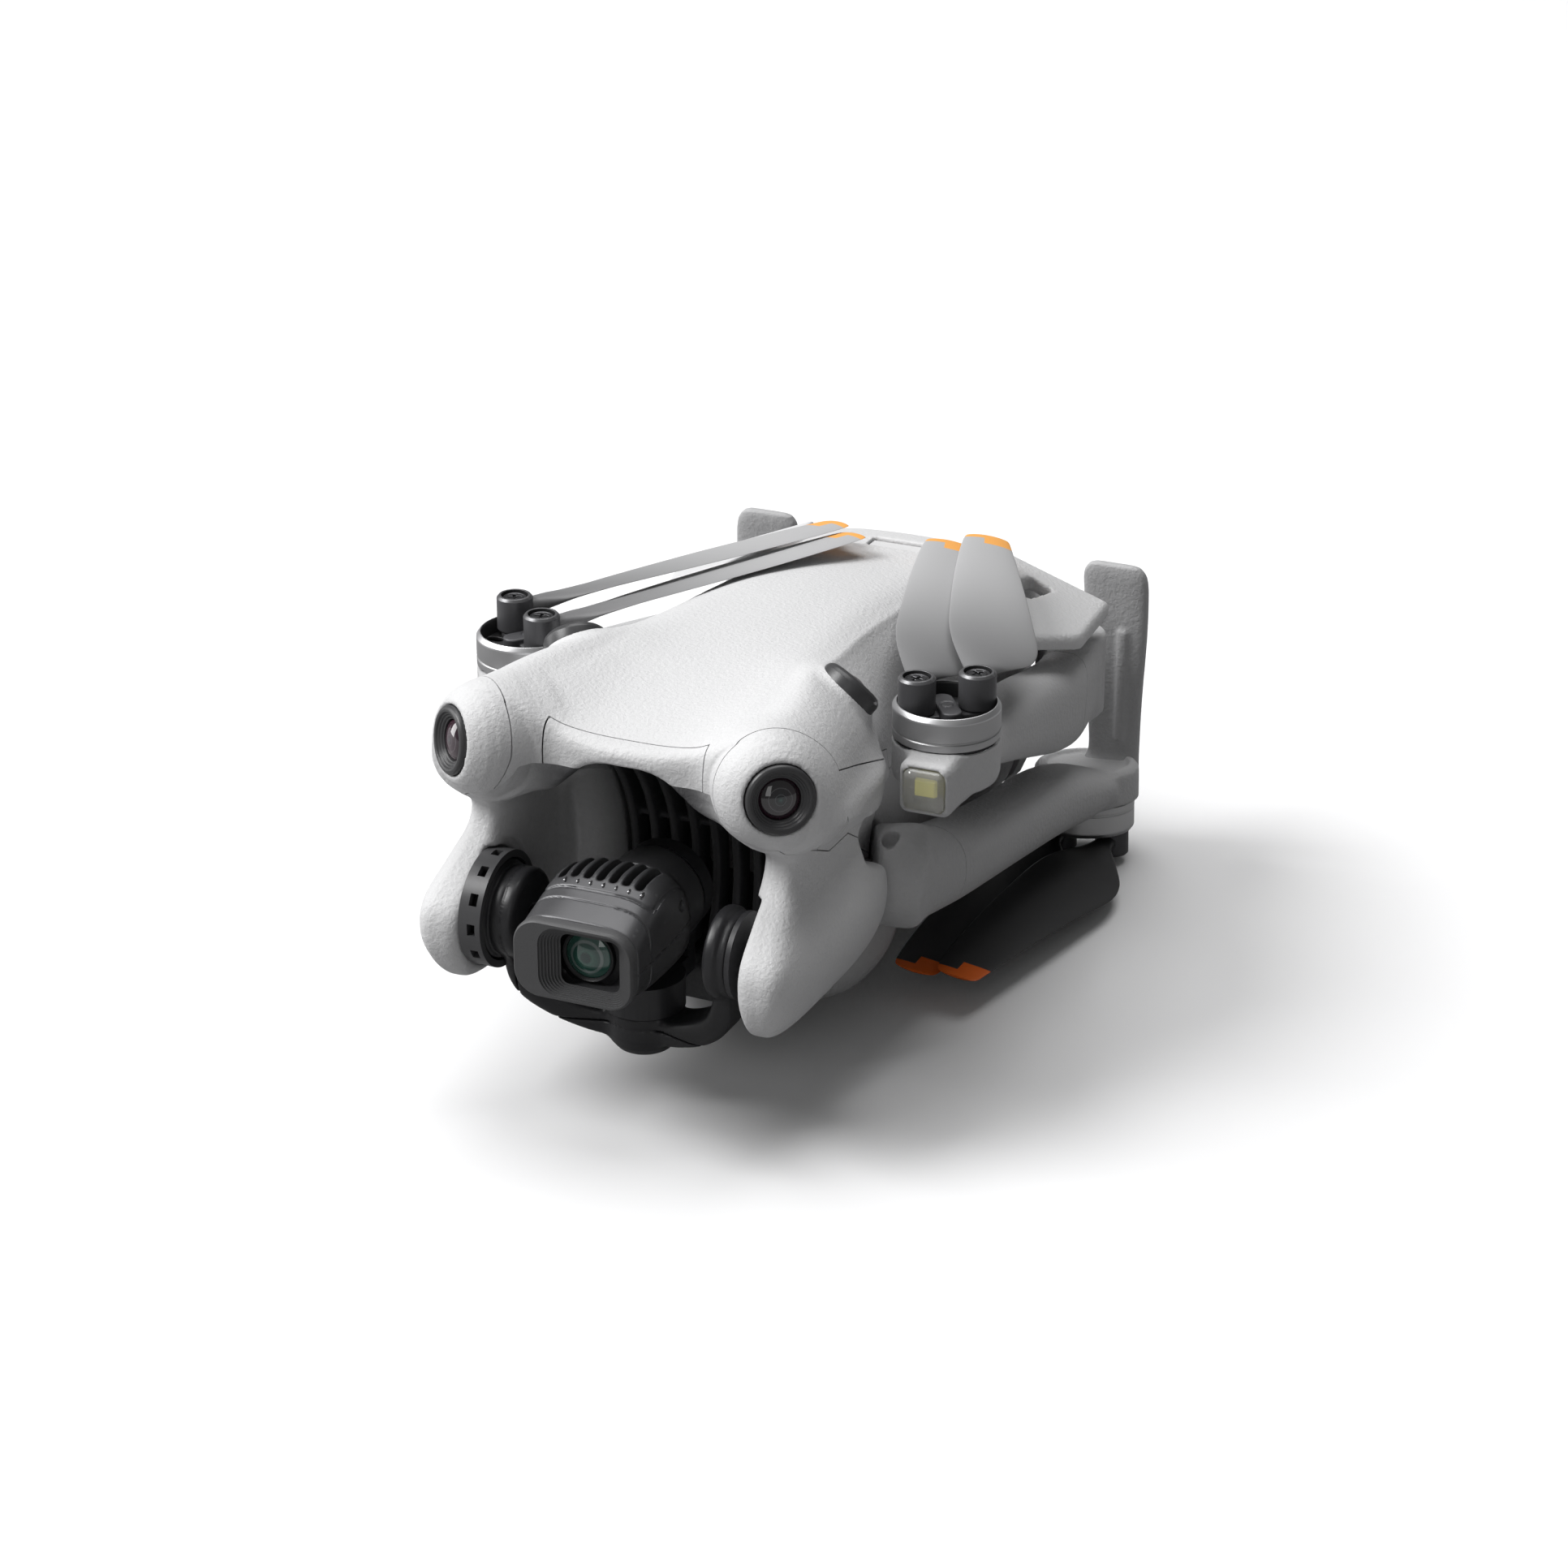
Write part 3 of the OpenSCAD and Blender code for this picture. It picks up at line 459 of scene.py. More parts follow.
def rings(R, caps=True):
    """Quads through rings of equal length; caps are fans."""
    R = np.asarray(R, float)
    n, m = R.shape[:2]
    V = R.reshape(-1, 3)
    i = np.arange(m)
    j = (i + 1) % m
    quads = np.concatenate([np.stack([k * m + i, k * m + j, (k + 1) * m + j, (k + 1) * m + i], 1)
                            for k in range(n - 1)])
    T = np.zeros((0, 3), int)
    if caps:
        V = np.concatenate([V, R[0].mean(0)[None], R[-1].mean(0)[None]])
        last = (n - 1) * m
        T = np.concatenate([np.stack([j, i, np.full(m, n * m)], 1),
                            np.stack([last + i, last + j, np.full(m, n * m + 1)], 1)])
    return outward(V, [T, quads])


def fillet(points, r, n=4):
    """Round the inner corners of an open 2-D line with radius about r."""
    points = [np.array(p, float) for p in points]
    out = [tuple(points[0])]
    for before, p, after in zip(points, points[1:], points[2:]):
        a, b = before - p, after - p
        la, lb = np.linalg.norm(a), np.linalg.norm(b)
        rr = min(r, la * 0.45, lb * 0.45)
        s, e = p + a / la * rr, p + b / lb * rr
        for k in range(n + 1):
            t = k / n
            out.append(tuple((1 - t) ** 2 * s + 2 * t * (1 - t) * p + t * t * e))
    out.append(tuple(points[-1]))
    return out


def place(mesh, centre, axes):
    return mesh[0] @ axes.T + np.array(centre, float), mesh[1]


def both_sides(mesh):
    """The mesh and its mirror image about x = 0."""
    V, faces = mesh
    return (np.concatenate([V, V * [-1, 1, 1]]),
            [np.concatenate([g, g[:, ::-1] + len(V)]) for g in faces])


def from_axis(V):
    return np.hypot(V[:, 0], V[:, 1])


def face_mean(values, faces):
    return np.concatenate([values[g].mean(1) for g in faces])


# ------------------------------------------------------------------ materials
SOCKETS = {"color": "Base Color", "rough": "Roughness", "metal": "Metallic", "normal": "Normal",
           "coat": "Coat Weight", "coat_rough": "Coat Roughness", "ior": "IOR",
           "trans": "Transmission Weight", "spec": "Specular IOR Level",
           "emit": "Emission Color", "emit_s": "Emission Strength"}


class Shader:
    """A Principled material and short ways to make the nodes that feed it."""

    def __init__(self, name):
        self.material = bpy.data.materials.new(name)
        self.material.use_nodes = True
        self.tree = self.material.node_tree
        self.co = self.node("ShaderNodeTexCoord").outputs["Object"]

    def node(self, kind, **settings):
        x = self.tree.nodes.new(kind)
        for k, v in settings.items():
            setattr(x, k, v)
        return x

    def put(self, socket, v):
        if isinstance(v, bpy.types.NodeSocket):
            self.tree.links.new(v, socket)
        else:
            socket.default_value = (*v, 1.0) if isinstance(v, tuple) else v

    def noise(self, scale, detail=2.0, rough=0.5, co=None, warp=0.0):
        x = self.node("ShaderNodeTexNoise")
        self.put(x.inputs["Vector"], co or self.co)
        x.inputs["Scale"].default_value = scale
        x.inputs["Detail"].default_value = detail
        x.inputs["Roughness"].default_value = rough
        x.inputs["Distortion"].default_value = warp
        return x.outputs["Fac"]

    def voronoi(self, scale, smooth):
        x = self.node("ShaderNodeTexVoronoi", feature="SMOOTH_F1")
        self.put(x.inputs["Vector"], self.co)
        x.inputs["Scale"].default_value = scale
        x.inputs["Smoothness"].default_value = smooth
        return x.outputs["Distance"]

    def calc(self, op, a, b=None):
        x = self.node("ShaderNodeMath", operation=op)
        self.put(x.inputs[0], a)
        if b is not None:
            self.put(x.inputs[1], b)
        return x.outputs[0]

    def mul(self, a, b):
        return self.calc("MULTIPLY", a, b)

    def add(self, a, b):
        return self.calc("ADD", a, b)

    def ramp(self, v, lo, hi):
        """Smooth 0 to 1 as v goes from lo to hi."""
        x = self.node("ShaderNodeMapRange", interpolation_type="SMOOTHSTEP")
        self.put(x.inputs["Value"], v)
        x.inputs["From Min"].default_value = lo
        x.inputs["From Max"].default_value = hi
        return x.outputs[0]

    def mix(self, factor, a, b):
        x = self.node("ShaderNodeMix", data_type="RGBA")
        self.put(x.inputs["Factor"], factor)
        self.put(x.inputs[6], a)
        self.put(x.inputs[7], b)
        return x.outputs[2]

    def bump(self, height, strength, depth):
        x = self.node("ShaderNodeBump")
        x.inputs["Strength"].default_value = strength
        x.inputs["Distance"].default_value = depth
        self.put(x.inputs["Height"], height)
        return x.outputs["Normal"]

    def attr(self, name):
        return self.node("ShaderNodeAttribute", attribute_name=name).outputs["Fac"]

    def axis(self, i):
        x = self.node("ShaderNodeSeparateXYZ")
        self.put(x.inputs[0], self.co)
        return x.outputs[i]

    def edges(self, lo=0.52, hi=0.62):
        """1 on convex edges."""
        return self.ramp(self.node("ShaderNodeNewGeometry").outputs["Pointiness"], lo, hi)

    def vary(self, v, amount, base):
        """base + amount * v, for a roughness."""
        return self.add(self.mul(v, amount), base)

    def finish(self, **sockets):
        for k, v in sockets.items():
            self.put(self.tree.nodes["Principled BSDF"].inputs[SOCKETS[k]], v)
        return self.material


def tint(color, gain, lift=0.0):
    return tuple(min(1, x * gain + lift) for x in color)


def grey(value, blue):
    """A neutral with its own blue channel."""
    return (value, value, blue)


def grained(name, color, rough, grain, bump):
    """Moulded plastic: pebble grain with a fine tooth, lighter high spots and edges."""
    S = Shader(name)
    cell = S.noise(grain, detail=1.0, rough=0.45, warp=0.6)
    h = S.add(S.mul(cell, 0.75), S.mul(S.voronoi(grain * 0.62, smooth=0.6), 0.45))
    h = S.add(h, S.mul(S.noise(grain * 3.1, rough=0.6), 0.16))
    c = S.mix(S.mul(S.noise(22, detail=3, rough=0.55), 0.08), color, tint(color, 0.9))
    c = S.mix(S.mul(S.ramp(h, 0.45, 0.95), 0.10), c, tint(color, 1.12))
    c = S.mix(S.mul(S.edges(), 0.22), c, tint(color, 1.18))
    r = S.vary(S.noise(grain * 0.45), 0.14, rough - 0.07)
    r = S.calc("SUBTRACT", r, S.mul(S.edges(), 0.06))
    return S.finish(color=c, rough=r, normal=S.bump(h, bump, depth=0.00013), spec=0.35)


def satin(name, color, rough, scale, bump, spec=0.45, metal=0.0, coat=0.0):
    """Fine satin moulding or lacquer."""
    S = Shader(name)
    f = S.noise(scale, detail=3, rough=0.6)
    c = S.mix(S.mul(S.noise(60, detail=3), 0.12), color, tint(color, 1.25, 0.004))
    c = S.mix(S.mul(S.edges(0.52, 0.60), 0.35), c, tint(color, 1.9, 0.02))
    return S.finish(color=c, rough=S.vary(f, 0.16, rough - 0.08),
                    normal=S.bump(f, bump, depth=0.00004), spec=spec, metal=metal, coat=coat)


def turned(name, color, rough, stored_height=True, streak=0.10, metal=1.0):
    """Turned metal: fine rings along a height, stored on the mesh as ax or the object's z."""
    S = Shader(name)
    h = S.attr("ax") if stored_height else S.axis(2)
    v = S.node("ShaderNodeCombineXYZ")
    S.put(v.inputs[2], S.mul(h, 1.0))
    ring = S.noise(26000.0, rough=0.7, co=v.outputs[0])
    r = S.vary(ring, streak, rough - streak / 2)
    r = S.add(r, S.mul(S.noise(7000), 0.05))
    return S.finish(color=S.mix(S.mul(ring, 0.35), color, tint(color, 0.86)), rough=r,
                    metal=metal, normal=S.bump(ring, 0.05, depth=0.00002))


def bay_wall():
    """Inner skin of the camera bay: pale at the sides, darkened towards the middle by painted
    shade.
    """
    S = Shader("bay_wall")
    g = S.noise(1150, warp=0.5)
    # painted shade: the walls are the shell's own pale plastic, and the dark grey towards the
    # middle stands in for the shade deep in the bay
    side = S.ramp(S.calc("ABSOLUTE", S.axis(0)), 0.0105, 0.0205)
    c = S.mix(side, grey(0.075, 0.078), grey(0.60, 0.605))
    c = S.mix(S.mul(g, 0.15), c, grey(0.30, 0.305))
    return S.finish(color=c, rough=S.vary(g, 0.1, 0.5),
                    normal=S.bump(g, 0.9, depth=0.00015), spec=0.3)


def blade_paint(name, base, root, tip, rough):
    """Satin blade, darker to the root, with a stepped coloured tip; bx and by are in mm. On the
    upper blades the grey and its fade to the root are painted reflection.
    """
    S = Shader(name)
    x, y = S.attr("bx"), S.attr("by")
    f = S.noise(6500, rough=0.6)
    c = S.mix(S.ramp(x, 2.0, 58.0), root, base)
    c = S.mix(S.mul(f, 0.10), c, tint(base, 1.3))
    step_in = S.mul(S.calc("GREATER_THAN", x, 65.2), S.calc("LESS_THAN", y, 0.6))
    painted = S.calc("MAXIMUM", S.calc("GREATER_THAN", x, 68.0), step_in)
    c = S.mix(painted, c, S.mix(S.mul(f, 0.2), tip, tint(tip, 0.85)))
    return S.finish(color=c, rough=S.vary(f, 0.10, rough - 0.05),
                    normal=S.bump(f, 0.08, depth=0.00003), spec=0.4)


def lens_glass(name, painted_reflection_tint, stops, rim):
    """Dark coated lens: concentric colours (share of the rim radius, colour) under gloss, with a
    painted reflection tint towards grazing angles.
    """
    S = Shader(name)
    ramp = S.node("ShaderNodeValToRGB")
    S.put(ramp.inputs[0], S.calc("DIVIDE", S.attr("lr"), rim))
    e = ramp.color_ramp.elements
    for i, (position, color) in ((0, stops[0]), (1, stops[-1])):
        e[i].position = position
        e[i].color = (*color, 1)
    for position, color in stops[1:-1]:
        e.new(position).color = (*color, 1)
    weight = S.node("ShaderNodeLayerWeight")
    weight.inputs[0].default_value = 0.35
    # painted reflection: the coating's reflected tint, reddish on the vision glass and green on
    # the camera lens, mixed into the colour towards grazing angles
    c = S.mix(S.mul(weight.outputs["Facing"], 0.55), ramp.outputs[0], painted_reflection_tint)
    return S.finish(color=c, rough=S.vary(S.noise(900), 0.05, 0.03),
                    spec=0.9, coat=1.0, coat_rough=0.02)


def lamp_cover():
    S = Shader("lamp_diffuser")
    c = S.mix(S.noise(900), (0.80, 0.80, 0.79), (0.90, 0.90, 0.89))
    ripple = S.bump(S.noise(260, detail=1, rough=0.4), 0.12, depth=0.0004)
    return S.finish(color=c, rough=0.08, trans=0.75, ior=1.45, coat=0.6, normal=ripple)


def lamp_chip():
    S = Shader("lamp_chip")
    c = S.mix(S.noise(3000), (0.86, 0.80, 0.18), (0.75, 0.70, 0.12))
    return S.finish(color=c, rough=0.4, emit=(0.9, 0.85, 0.3), emit_s=0.15)


def circuit_board():
    S = Shader("circuit_board")
    brick = S.node("ShaderNodeTexBrick")
    for socket, v in (("Vector", S.co), ("Scale", 260), ("Color1", (0.008, 0.018, 0.012)),
                      ("Color2", (0.010, 0.026, 0.016)), ("Mortar", (0.03, 0.05, 0.035))):
        S.put(brick.inputs[socket], v)
    return S.finish(color=brick.outputs[0], rough=S.vary(S.noise(4000), 0.2, 0.25), spec=0.5)


VISION_RIM, CAMERA_RIM = 3.35, 4.3  # lens radii that the stored radius lr refers to, mm
VISION_STOPS = [
    (0, (0.05, 0.11, 0.10)), (0.10, (0.012, 0.03, 0.03)), (0.22, (0.006, 0.008, 0.01)),
    (0.26, (0.07, 0.08, 0.085)), (0.30, (0.01, 0.012, 0.014)), (0.52, (0.012, 0.012, 0.014)),
    (0.56, (0.10, 0.10, 0.105)), (0.60, (0.012, 0.010, 0.012)), (0.86, (0.006, 0.005, 0.006)),
    (1.0, (0.03, 0.012, 0.02))]
CAMERA_STOPS = [
    (0, (0.015, 0.04, 0.035)), (0.20, (0.01, 0.03, 0.028)), (0.30, (0.05, 0.13, 0.10)),
    (0.50, (0.03, 0.085, 0.068)), (0.60, (0.03, 0.08, 0.065)), (0.64, (0.20, 0.24, 0.23)),
    (0.72, (0.20, 0.24, 0.23)), (0.76, (0.035, 0.10, 0.08)), (1.0, (0.05, 0.14, 0.11))]
M = {
    "shell": grained("shell_plastic", grey(0.63, 0.635), rough=0.52, grain=1900, bump=1.0),
    "arm": grained("arm_plastic", grey(0.51, 0.515), rough=0.52, grain=1950, bump=0.95),
    "leg": grained("leg_plastic", grey(0.41, 0.415), rough=0.52, grain=1900, bump=0.95),
    "grille": grained("grille_plastic", grey(0.055, 0.058), rough=0.55, grain=2600, bump=0.25),
    "baywall": bay_wall(),
    "black": satin("gimbal_black", grey(0.022, 0.024), rough=0.36, scale=5600, bump=0.18),
    "ring": satin("ring_black", grey(0.05, 0.052), rough=0.34, scale=6400, bump=0.10),
    "camera": satin("camera_shell", grey(0.082, 0.086), rough=0.34, scale=7200, bump=0.16,
                    spec=0.5, metal=0.35),
    "bezel": grained("bezel_plastic", grey(0.080, 0.082), rough=0.5, grain=3600, bump=0.22),
    "hub": satin("hub_metal", grey(0.085, 0.09), rough=0.42, scale=5200, bump=0.14,
                 spec=0.5, metal=0.25),
    "screw": satin("screw_steel", grey(0.10, 0.105), rough=0.3, scale=5200, bump=0.10,
                   spec=0.5, metal=0.85),
    # near-black: the real colour of black parts, and painted shade where it lines the hub's bore
    "dark": satin("near_black_and_gap_shade", grey(0.012, 0.013), rough=0.5, scale=3000, bump=0.10),
    "can": turned("motor_can", grey(0.46, 0.465), rough=0.44),
    # painted light: the lower cans are the same metal as the upper ones, made lighter and less
    # metallic to stand in for the light and reflections they miss in the shade under the arms
    "can_lit_copy": turned("motor_can_painted_light", grey(0.66, 0.665), rough=0.42, metal=0.55),
    "chamfer": turned("motor_chamfer", grey(0.62, 0.63), rough=0.40, streak=0.05),
    "steel": turned("pin_steel", grey(0.52, 0.53), rough=0.28, stored_height=False),
    "button": grained("button_plastic", grey(0.60, 0.605), rough=0.5, grain=2200, bump=0.25),
    # painted light: upper and lower blades are one black blade with an orange tip; the upper
    # light grey, its fade to the root and the brighter tip are painted reflection, the lower
    # blades' darker red tips painted shade
    "blade_rear": blade_paint("upper_blade", grey(0.45, 0.455), root=grey(0.15, 0.153),
                              tip=(0.90, 0.42, 0.10), rough=0.40),
    "blade_front": blade_paint("lower_blade", grey(0.034, 0.035), root=grey(0.024, 0.025),
                               tip=(0.78, 0.14, 0.015), rough=0.34),
    "glass": lens_glass("vision_glass", (0.13, 0.03, 0.07), VISION_STOPS, VISION_RIM),
    "camlens": lens_glass("coated_lens", (0.05, 0.16, 0.12), CAMERA_STOPS, CAMERA_RIM),
    "lamp": lamp_cover(),
    "chip": lamp_chip(),
    "white": satin("lamp_frame", grey(0.7, 0.69), rough=0.3, scale=2400, bump=0.1),
    "board": circuit_board(),
    "hubring": satin("hub_chamfer", grey(0.15, 0.155), rough=0.36, scale=5200, bump=0.1,
                     spec=0.5, metal=0.6),
    "gloss": satin("belly_lens", (0.01, 0.012, 0.016), rough=0.08, scale=900, bump=0.02,
                   spec=0.9, coat=1.0),
    "battery": grained("battery_case", grey(0.50, 0.505), rough=0.5, grain=2300, bump=0.22),
}

# ------------------------------------------------------------------ fuselage skin
# Half outlines of the body's upper and lower parts: y, then six points x, z from the middle
# outwards.
TOP = [
    [-61, 0, 65.8, 9, 66.4, 18, 69.0, 25, 70.5, 32, 65.0, 34.5, 57.5],
    [-54, 0, 67.0, 9, 67.6, 18, 70.2, 25, 71.6, 32, 66.5, 35.0, 56.5],
    [-46, 0, 68.0, 9, 68.6, 17, 70.4, 24, 71.6, 31, 66.0, 33.5, 54.0],
    [-38, 0, 68.8, 9, 69.2, 16, 70.4, 22, 71.3, 29.6, 65.2, 32.3, 52.0],
    [-30, 0, 69.3, 8, 69.6, 15, 70.4, 20, 70.6, 27.8, 63.4, 29.8, 50.0],
    [-20, 0, 69.5, 8, 69.5, 14, 69.4, 18.5, 68.6, 25.0, 61.5, 27.2, 49.0],
    [-8, 0, 69.2, 8, 69.0, 13, 68.6, 17.2, 67.4, 22.6, 60.5, 26.2, 48.5],
    [6, 0, 68.3, 8, 68.0, 12.5, 67.4, 16.6, 66.0, 22.2, 59.5, 26.0, 48.0],
    [20, 0, 66.5, 8, 66.2, 12.5, 65.6, 16.4, 64.2, 22.4, 58.5, 26.5, 48.0],
    [34, 0, 64.0, 8, 63.8, 13, 63.2, 17.0, 62.0, 23.0, 57.5, 27.0, 48.0],
    [48, 0, 62.4, 8, 62.2, 14, 61.6, 18.5, 60.6, 24.0, 56.5, 27.0, 48.0],
    [58, 0, 60.8, 8, 60.6, 14, 60.0, 18.5, 58.8, 24.0, 55.0, 26.5, 48.0]]
LOW = [
    [-42, 0, 12.5, 9, 12.6, 16, 14.5, 20.5, 21, 22, 36, 26.5, 49.5],
    [-34, 0, 9.6, 9, 9.7, 17, 11.0, 22.5, 18, 24, 36, 27.2, 49],
    [-24, 0, 7.6, 9, 7.7, 19, 8.3, 24.2, 14.5, 24.2, 36, 26.2, 48.2],
    [-10, 0, 7.4, 9, 7.5, 19.0, 8.0, 24.0, 14.0, 23.8, 36, 25.4, 47.7],
    [4, 0, 7.8, 9, 7.9, 16.5, 9.0, 21.6, 16.5, 22.8, 36, 25.0, 47.5],
    [14, 0, 8.0, 9, 8.1, 15.5, 9.4, 20.8, 17, 22.6, 36, 25.0, 47.5],
    [35, 0, 9.0, 9, 9.1, 15, 10.6, 20.6, 18, 22.6, 36, 25.4, 47.5],
    [57, 0, 10.5, 9, 10.6, 15, 12.0, 20.6, 19, 22.5, 36, 24.3, 47.5]]
# Cheeks beside the camera bay: z, centre x, y, half width x, y
CHEEK = [
    [23.2, 26.6, -51, 2.6, 17.5], [24.6, 27.0, -52, 3.6, 19.4], [27.6, 27.6, -52.4, 4.8, 21.4],
    [32, 28.0, -52.6, 5.9, 22.6], [37, 27.8, -52.0, 6.0, 22.2], [42, 26.9, -49.6, 5.0, 19.2],
    [46.5, 26.2, -46.8, 4.2, 16.6], [51, 26.2, -45.8, 4.2, 15.8], [56, 27.6, -47.5, 5.0, 16.0]]
# Pod round a front vision lens: r, z along the lens axis
POD_PROFILE = [(0, -13), (7.6, -13), (9.0, -8.5), (9.3, -5.8), (9.15, -3.4), (8.55, -1.5),
               (7.6, -0.1), (6.7, 0.8), (6.1, 1.15), (5.6, 1.2), (0, 1.2)]
TILT_Y, TILT_Z = -65.0, 34.8  # tilt axis of the camera, parallel to x; the bay is swept round it
# Frames of the parts at +X: centre, axes
POD = np.array([28, -66, 63.5]), rotation(82, 0, 38)
REAR_LENS = np.array([24.6, -30.6, 67.6]), rotation(0, 0, -38) @ rotation(-48, 0, 0)
HINGE = np.array([29, -21, 31.5]), rotation(0, 96, 26.6)  # knuckle of the front arm


def section(row, crease):
    """Half outline through a row's points; crease 1 keeps the fourth point sharp."""
    P = np.array(row, float).reshape(-1, 2)
    out = []
    for i in range(len(P) - 1):
        a = P[i - 1] if i else P[1] * [-1, 1]
        b, c = P[i], P[i + 1]
        d = P[min(i + 2, len(P) - 1)]
        a2, d2 = a, d
        if i == 2:
            d2 = d + (2 * c - b - d) * crease
        if i == 3:
            a2 = a + (2 * b - c - a) * crease
        for k in range(6):
            out.append(catmull_rom(a2, b, c, d2, k / 6))
    out.append(P[-1])
    return np.array(out)


def top_outline(y, row):
    P = section(row, float(step(-36, -24, y)))
    inset, drop = (0, 1.0) if y > -42 else (1.5, 2.0)
    x, z = P[-1]
    return np.concatenate([P, [[x - inset, z - drop], [0, z - drop]]])


def low_outline(y, row):
    P = section(row, 0.0)
    x, z = P[-1]
    return np.concatenate([P, [[x, z + 2], [0, z + 2]]])


def sectioned(x, Y, Z, table, y0, y1, outline):
    """Section by section distance to a body, for stations from y0 to y1."""
    rows = spline_rows(table)
    d = np.full((x.shape[0], Y.shape[1], Z.shape[2]), 30, F32)
    xx, zz = x[:, 0, :], Z[0, 0, :][None, :]
    for j, y in enumerate(Y.ravel()):
        if y0 <= y <= y1:
            row = [np.interp(y, rows[:, 0], rows[:, c]) for c in range(1, rows.shape[1])]
            half = outline(y, row)
            d[:, j, :] = polygon(xx, zz, np.concatenate([half, half[::-1] * [-1, 1]]))
    return d


def hull(x, Y, Z):
    top = sectioned(x, Y, Z, TOP, -64, 62, top_outline)
    low = sectioned(x, Y, Z, LOW, -46, 60, low_outline)
    front = -64.2 + 2.4 * step(0, 24, x)  # the front edge follows the brow in plan
    top = meet(meet(top, front - Y, 3.0), Y - 58.0, 1.0)
    low = meet(meet(low, -42.0 - Y, 1.0), Y - 57.0, 0.8)
    return fuse(top, low, 1.2)


def cheeks(x, Y, Z):
    d = loft_z(x, Y, Z, CHEEK, 3.4, 1.6)
    d = meet(d, Y + 30.2 + 8.5 * step(37, 42, Z) * (1 - step(46, 51, Z)), 2.0)
    return meet(d, 21.2 - x, 0.6)


def brow(x, Y, Z):
    """Bar over the camera bay that thickens and rises outwards."""
    w = np.clip(x / 21.5, 0, 1.3)
    d = superellipse(Y - (-59.4 - 1.6 * w * w), Z - (61.2 + 1.3 * w * w),
                     2.7, 2.9 + 1.5 * w * w, 3.0)
    return meet(d, x - 24, 1.0)


def tail_deck(x, Y, Z):
    """Thin wing at each side of the tail, falling outwards and backwards."""
    u = (x - 21.4) / 15.8
    y0, y1 = 27.5 - 2.0 * u, 54.5 + 4.2 * u
    z0, z1 = 63.2 - 6.6 * u, 60.8 - 7.6 * u
    top = z0 + (z1 - z0) * np.clip((Y - y0) / (y1 - y0), -0.2, 1.2)
    plate = meet((Z - top) * 0.92, (top - 2.9 - Z) * 0.92, 0.6)
    d = meet(plate, meet(y0 - Y, Y - y1, 0.5), 0.9)
    d = meet(d, meet(x - (39.6 - 0.10 * (Y - 38)), 18.0 - x, 0.5), 0.8)
    return meet(d, 0.92 * (x - 35.2) - 0.393 * (Y - 27.4), 1.2)


def carve_camera_bay(d, x, Y, Z):
    r = radius(Y - TILT_Y, Z - TILT_Z)
    bay = meet(meet(r - 28.0, x - 21.9, 0.8), -100.0 - Y, 0.1)
    bay = meet(bay, 0.7071 * (x + Z - 69.0), 3.0)  # sloping web under the pods
    d = carve(d, bay, 0.9)
    lip = meet(meet(r - 24.2, x - 24.2, 0.3), Z - 62.0, 0.1)
    d = carve(d, meet(meet(lip, Y + 58.0, 2.0), 59.0 - Z, 1.5), 0.8)
    # round seats on the tilt axis in the side walls
    d = carve(d, meet(r - 9.95, x - 24.5, 0.3), 0.35)
    return carve(d, meet(meet(r - 11.4, x - 22.9, 0.3), -70.5 - Y, 1.5), 0.3)


def body_field(X, Y, Z):
    x = np.abs(X)
    d = hull(x, Y, Z)
    d = fuse(d, cheeks(x, Y, Z), 1.8 + 4.2 * step(46, 53, Z))
    px, py, pz = local(x, Y, Z, *POD)
    pr = radius(px, py)
    d = fuse(d, revolved(pr, pz, POD_PROFILE), 4.2)
    d = carve(d, drum(pr, pz, 5.72, -3.25, 8.0), 0.3)
    d = fuse(d, brow(x, Y, Z), 1.6)
    # flush boss and socket of the rear vision lens
    lx, ly, lz = local(x, Y, Z, *REAR_LENS)
    lr = radius(lx, ly)
    d = fuse(d, drum(lr, lz, 5.1, -7.0, 0.15, edge=0.7), 2.2)
    d = carve(d, drum(lr, lz, 4.82, -2.2, 9.0), 0.3)
    d = fuse(d, tail_deck(x, Y, Z), 0.8)
    # opening at the root of the deck, turned by 8 degrees
    slant = math.radians(8)
    vent_x = x * math.cos(slant) - Y * math.sin(slant)
    d = carve(d, box(vent_x, Y, Z, (20.4, 45.4, 58), (2.3, 4.7, 9.0), 1.2), 0.5)
    d = carve_camera_bay(d, x, Y, Z)
    # intake behind the grille, battery bay, floor pocket
    d = carve(d, box(x, Y, Z, (0, -26, 39), (12.6, 22, 20.5), 2.0), 0.6)
    d = carve(d, box(x, Y, Z, (0, 36.5, 30.3), (17.4, 40.5, 14.4), 1.0), 0.3)
    d = carve(d, box(x, Y, Z, (0, 21, 7.5), (10.98, 12.98, 2.0), 0.3), 0.15)
    # clearance of the front arm's knuckle
    fx, fy, fz = local(x, Y, Z, *HINGE)
    d = carve(d, drum(radius(fx, fy), fz, 8.85, -4.3, 16), 0.5)
    # recessed button panel with its well
    d = carve(d, box(x, Y, Z, (0, 49.2, 63.4), (9.2, 4.6, 1.55), 1.2), 0.25)
    return carve(d, box(x, Y, Z, (0, 49.0, 61.4), (5.2, 2.1, 2.4), 0.8), 0.15)


def mirrored_body(h):
    """Field over both halves, and its lowest corner; the grid's third layer is x = 0."""
    lo, hi = (-h * 2, -78.0, 5.5), (41.0, 60.8, 73.5)
    d = body_field(*grid(lo, hi, h))
    d = np.concatenate([d[:2:-1], d[2:]], 0)
    return d, (-(d.shape[0] - 1) / 2 * h, lo[1], lo[2])


BODY_H = pick(0.44)
BODY, BODY_LO = mirrored_body(BODY_H)

# Seams between the covers: each function is positive on its own piece.
GAP = 0.11  # half the width of an open seam


def least(*values):
    return functools.reduce(np.minimum, values)


def half_space(P):
    return np.abs(P[:, 0]), P[:, 1], P[:, 2]


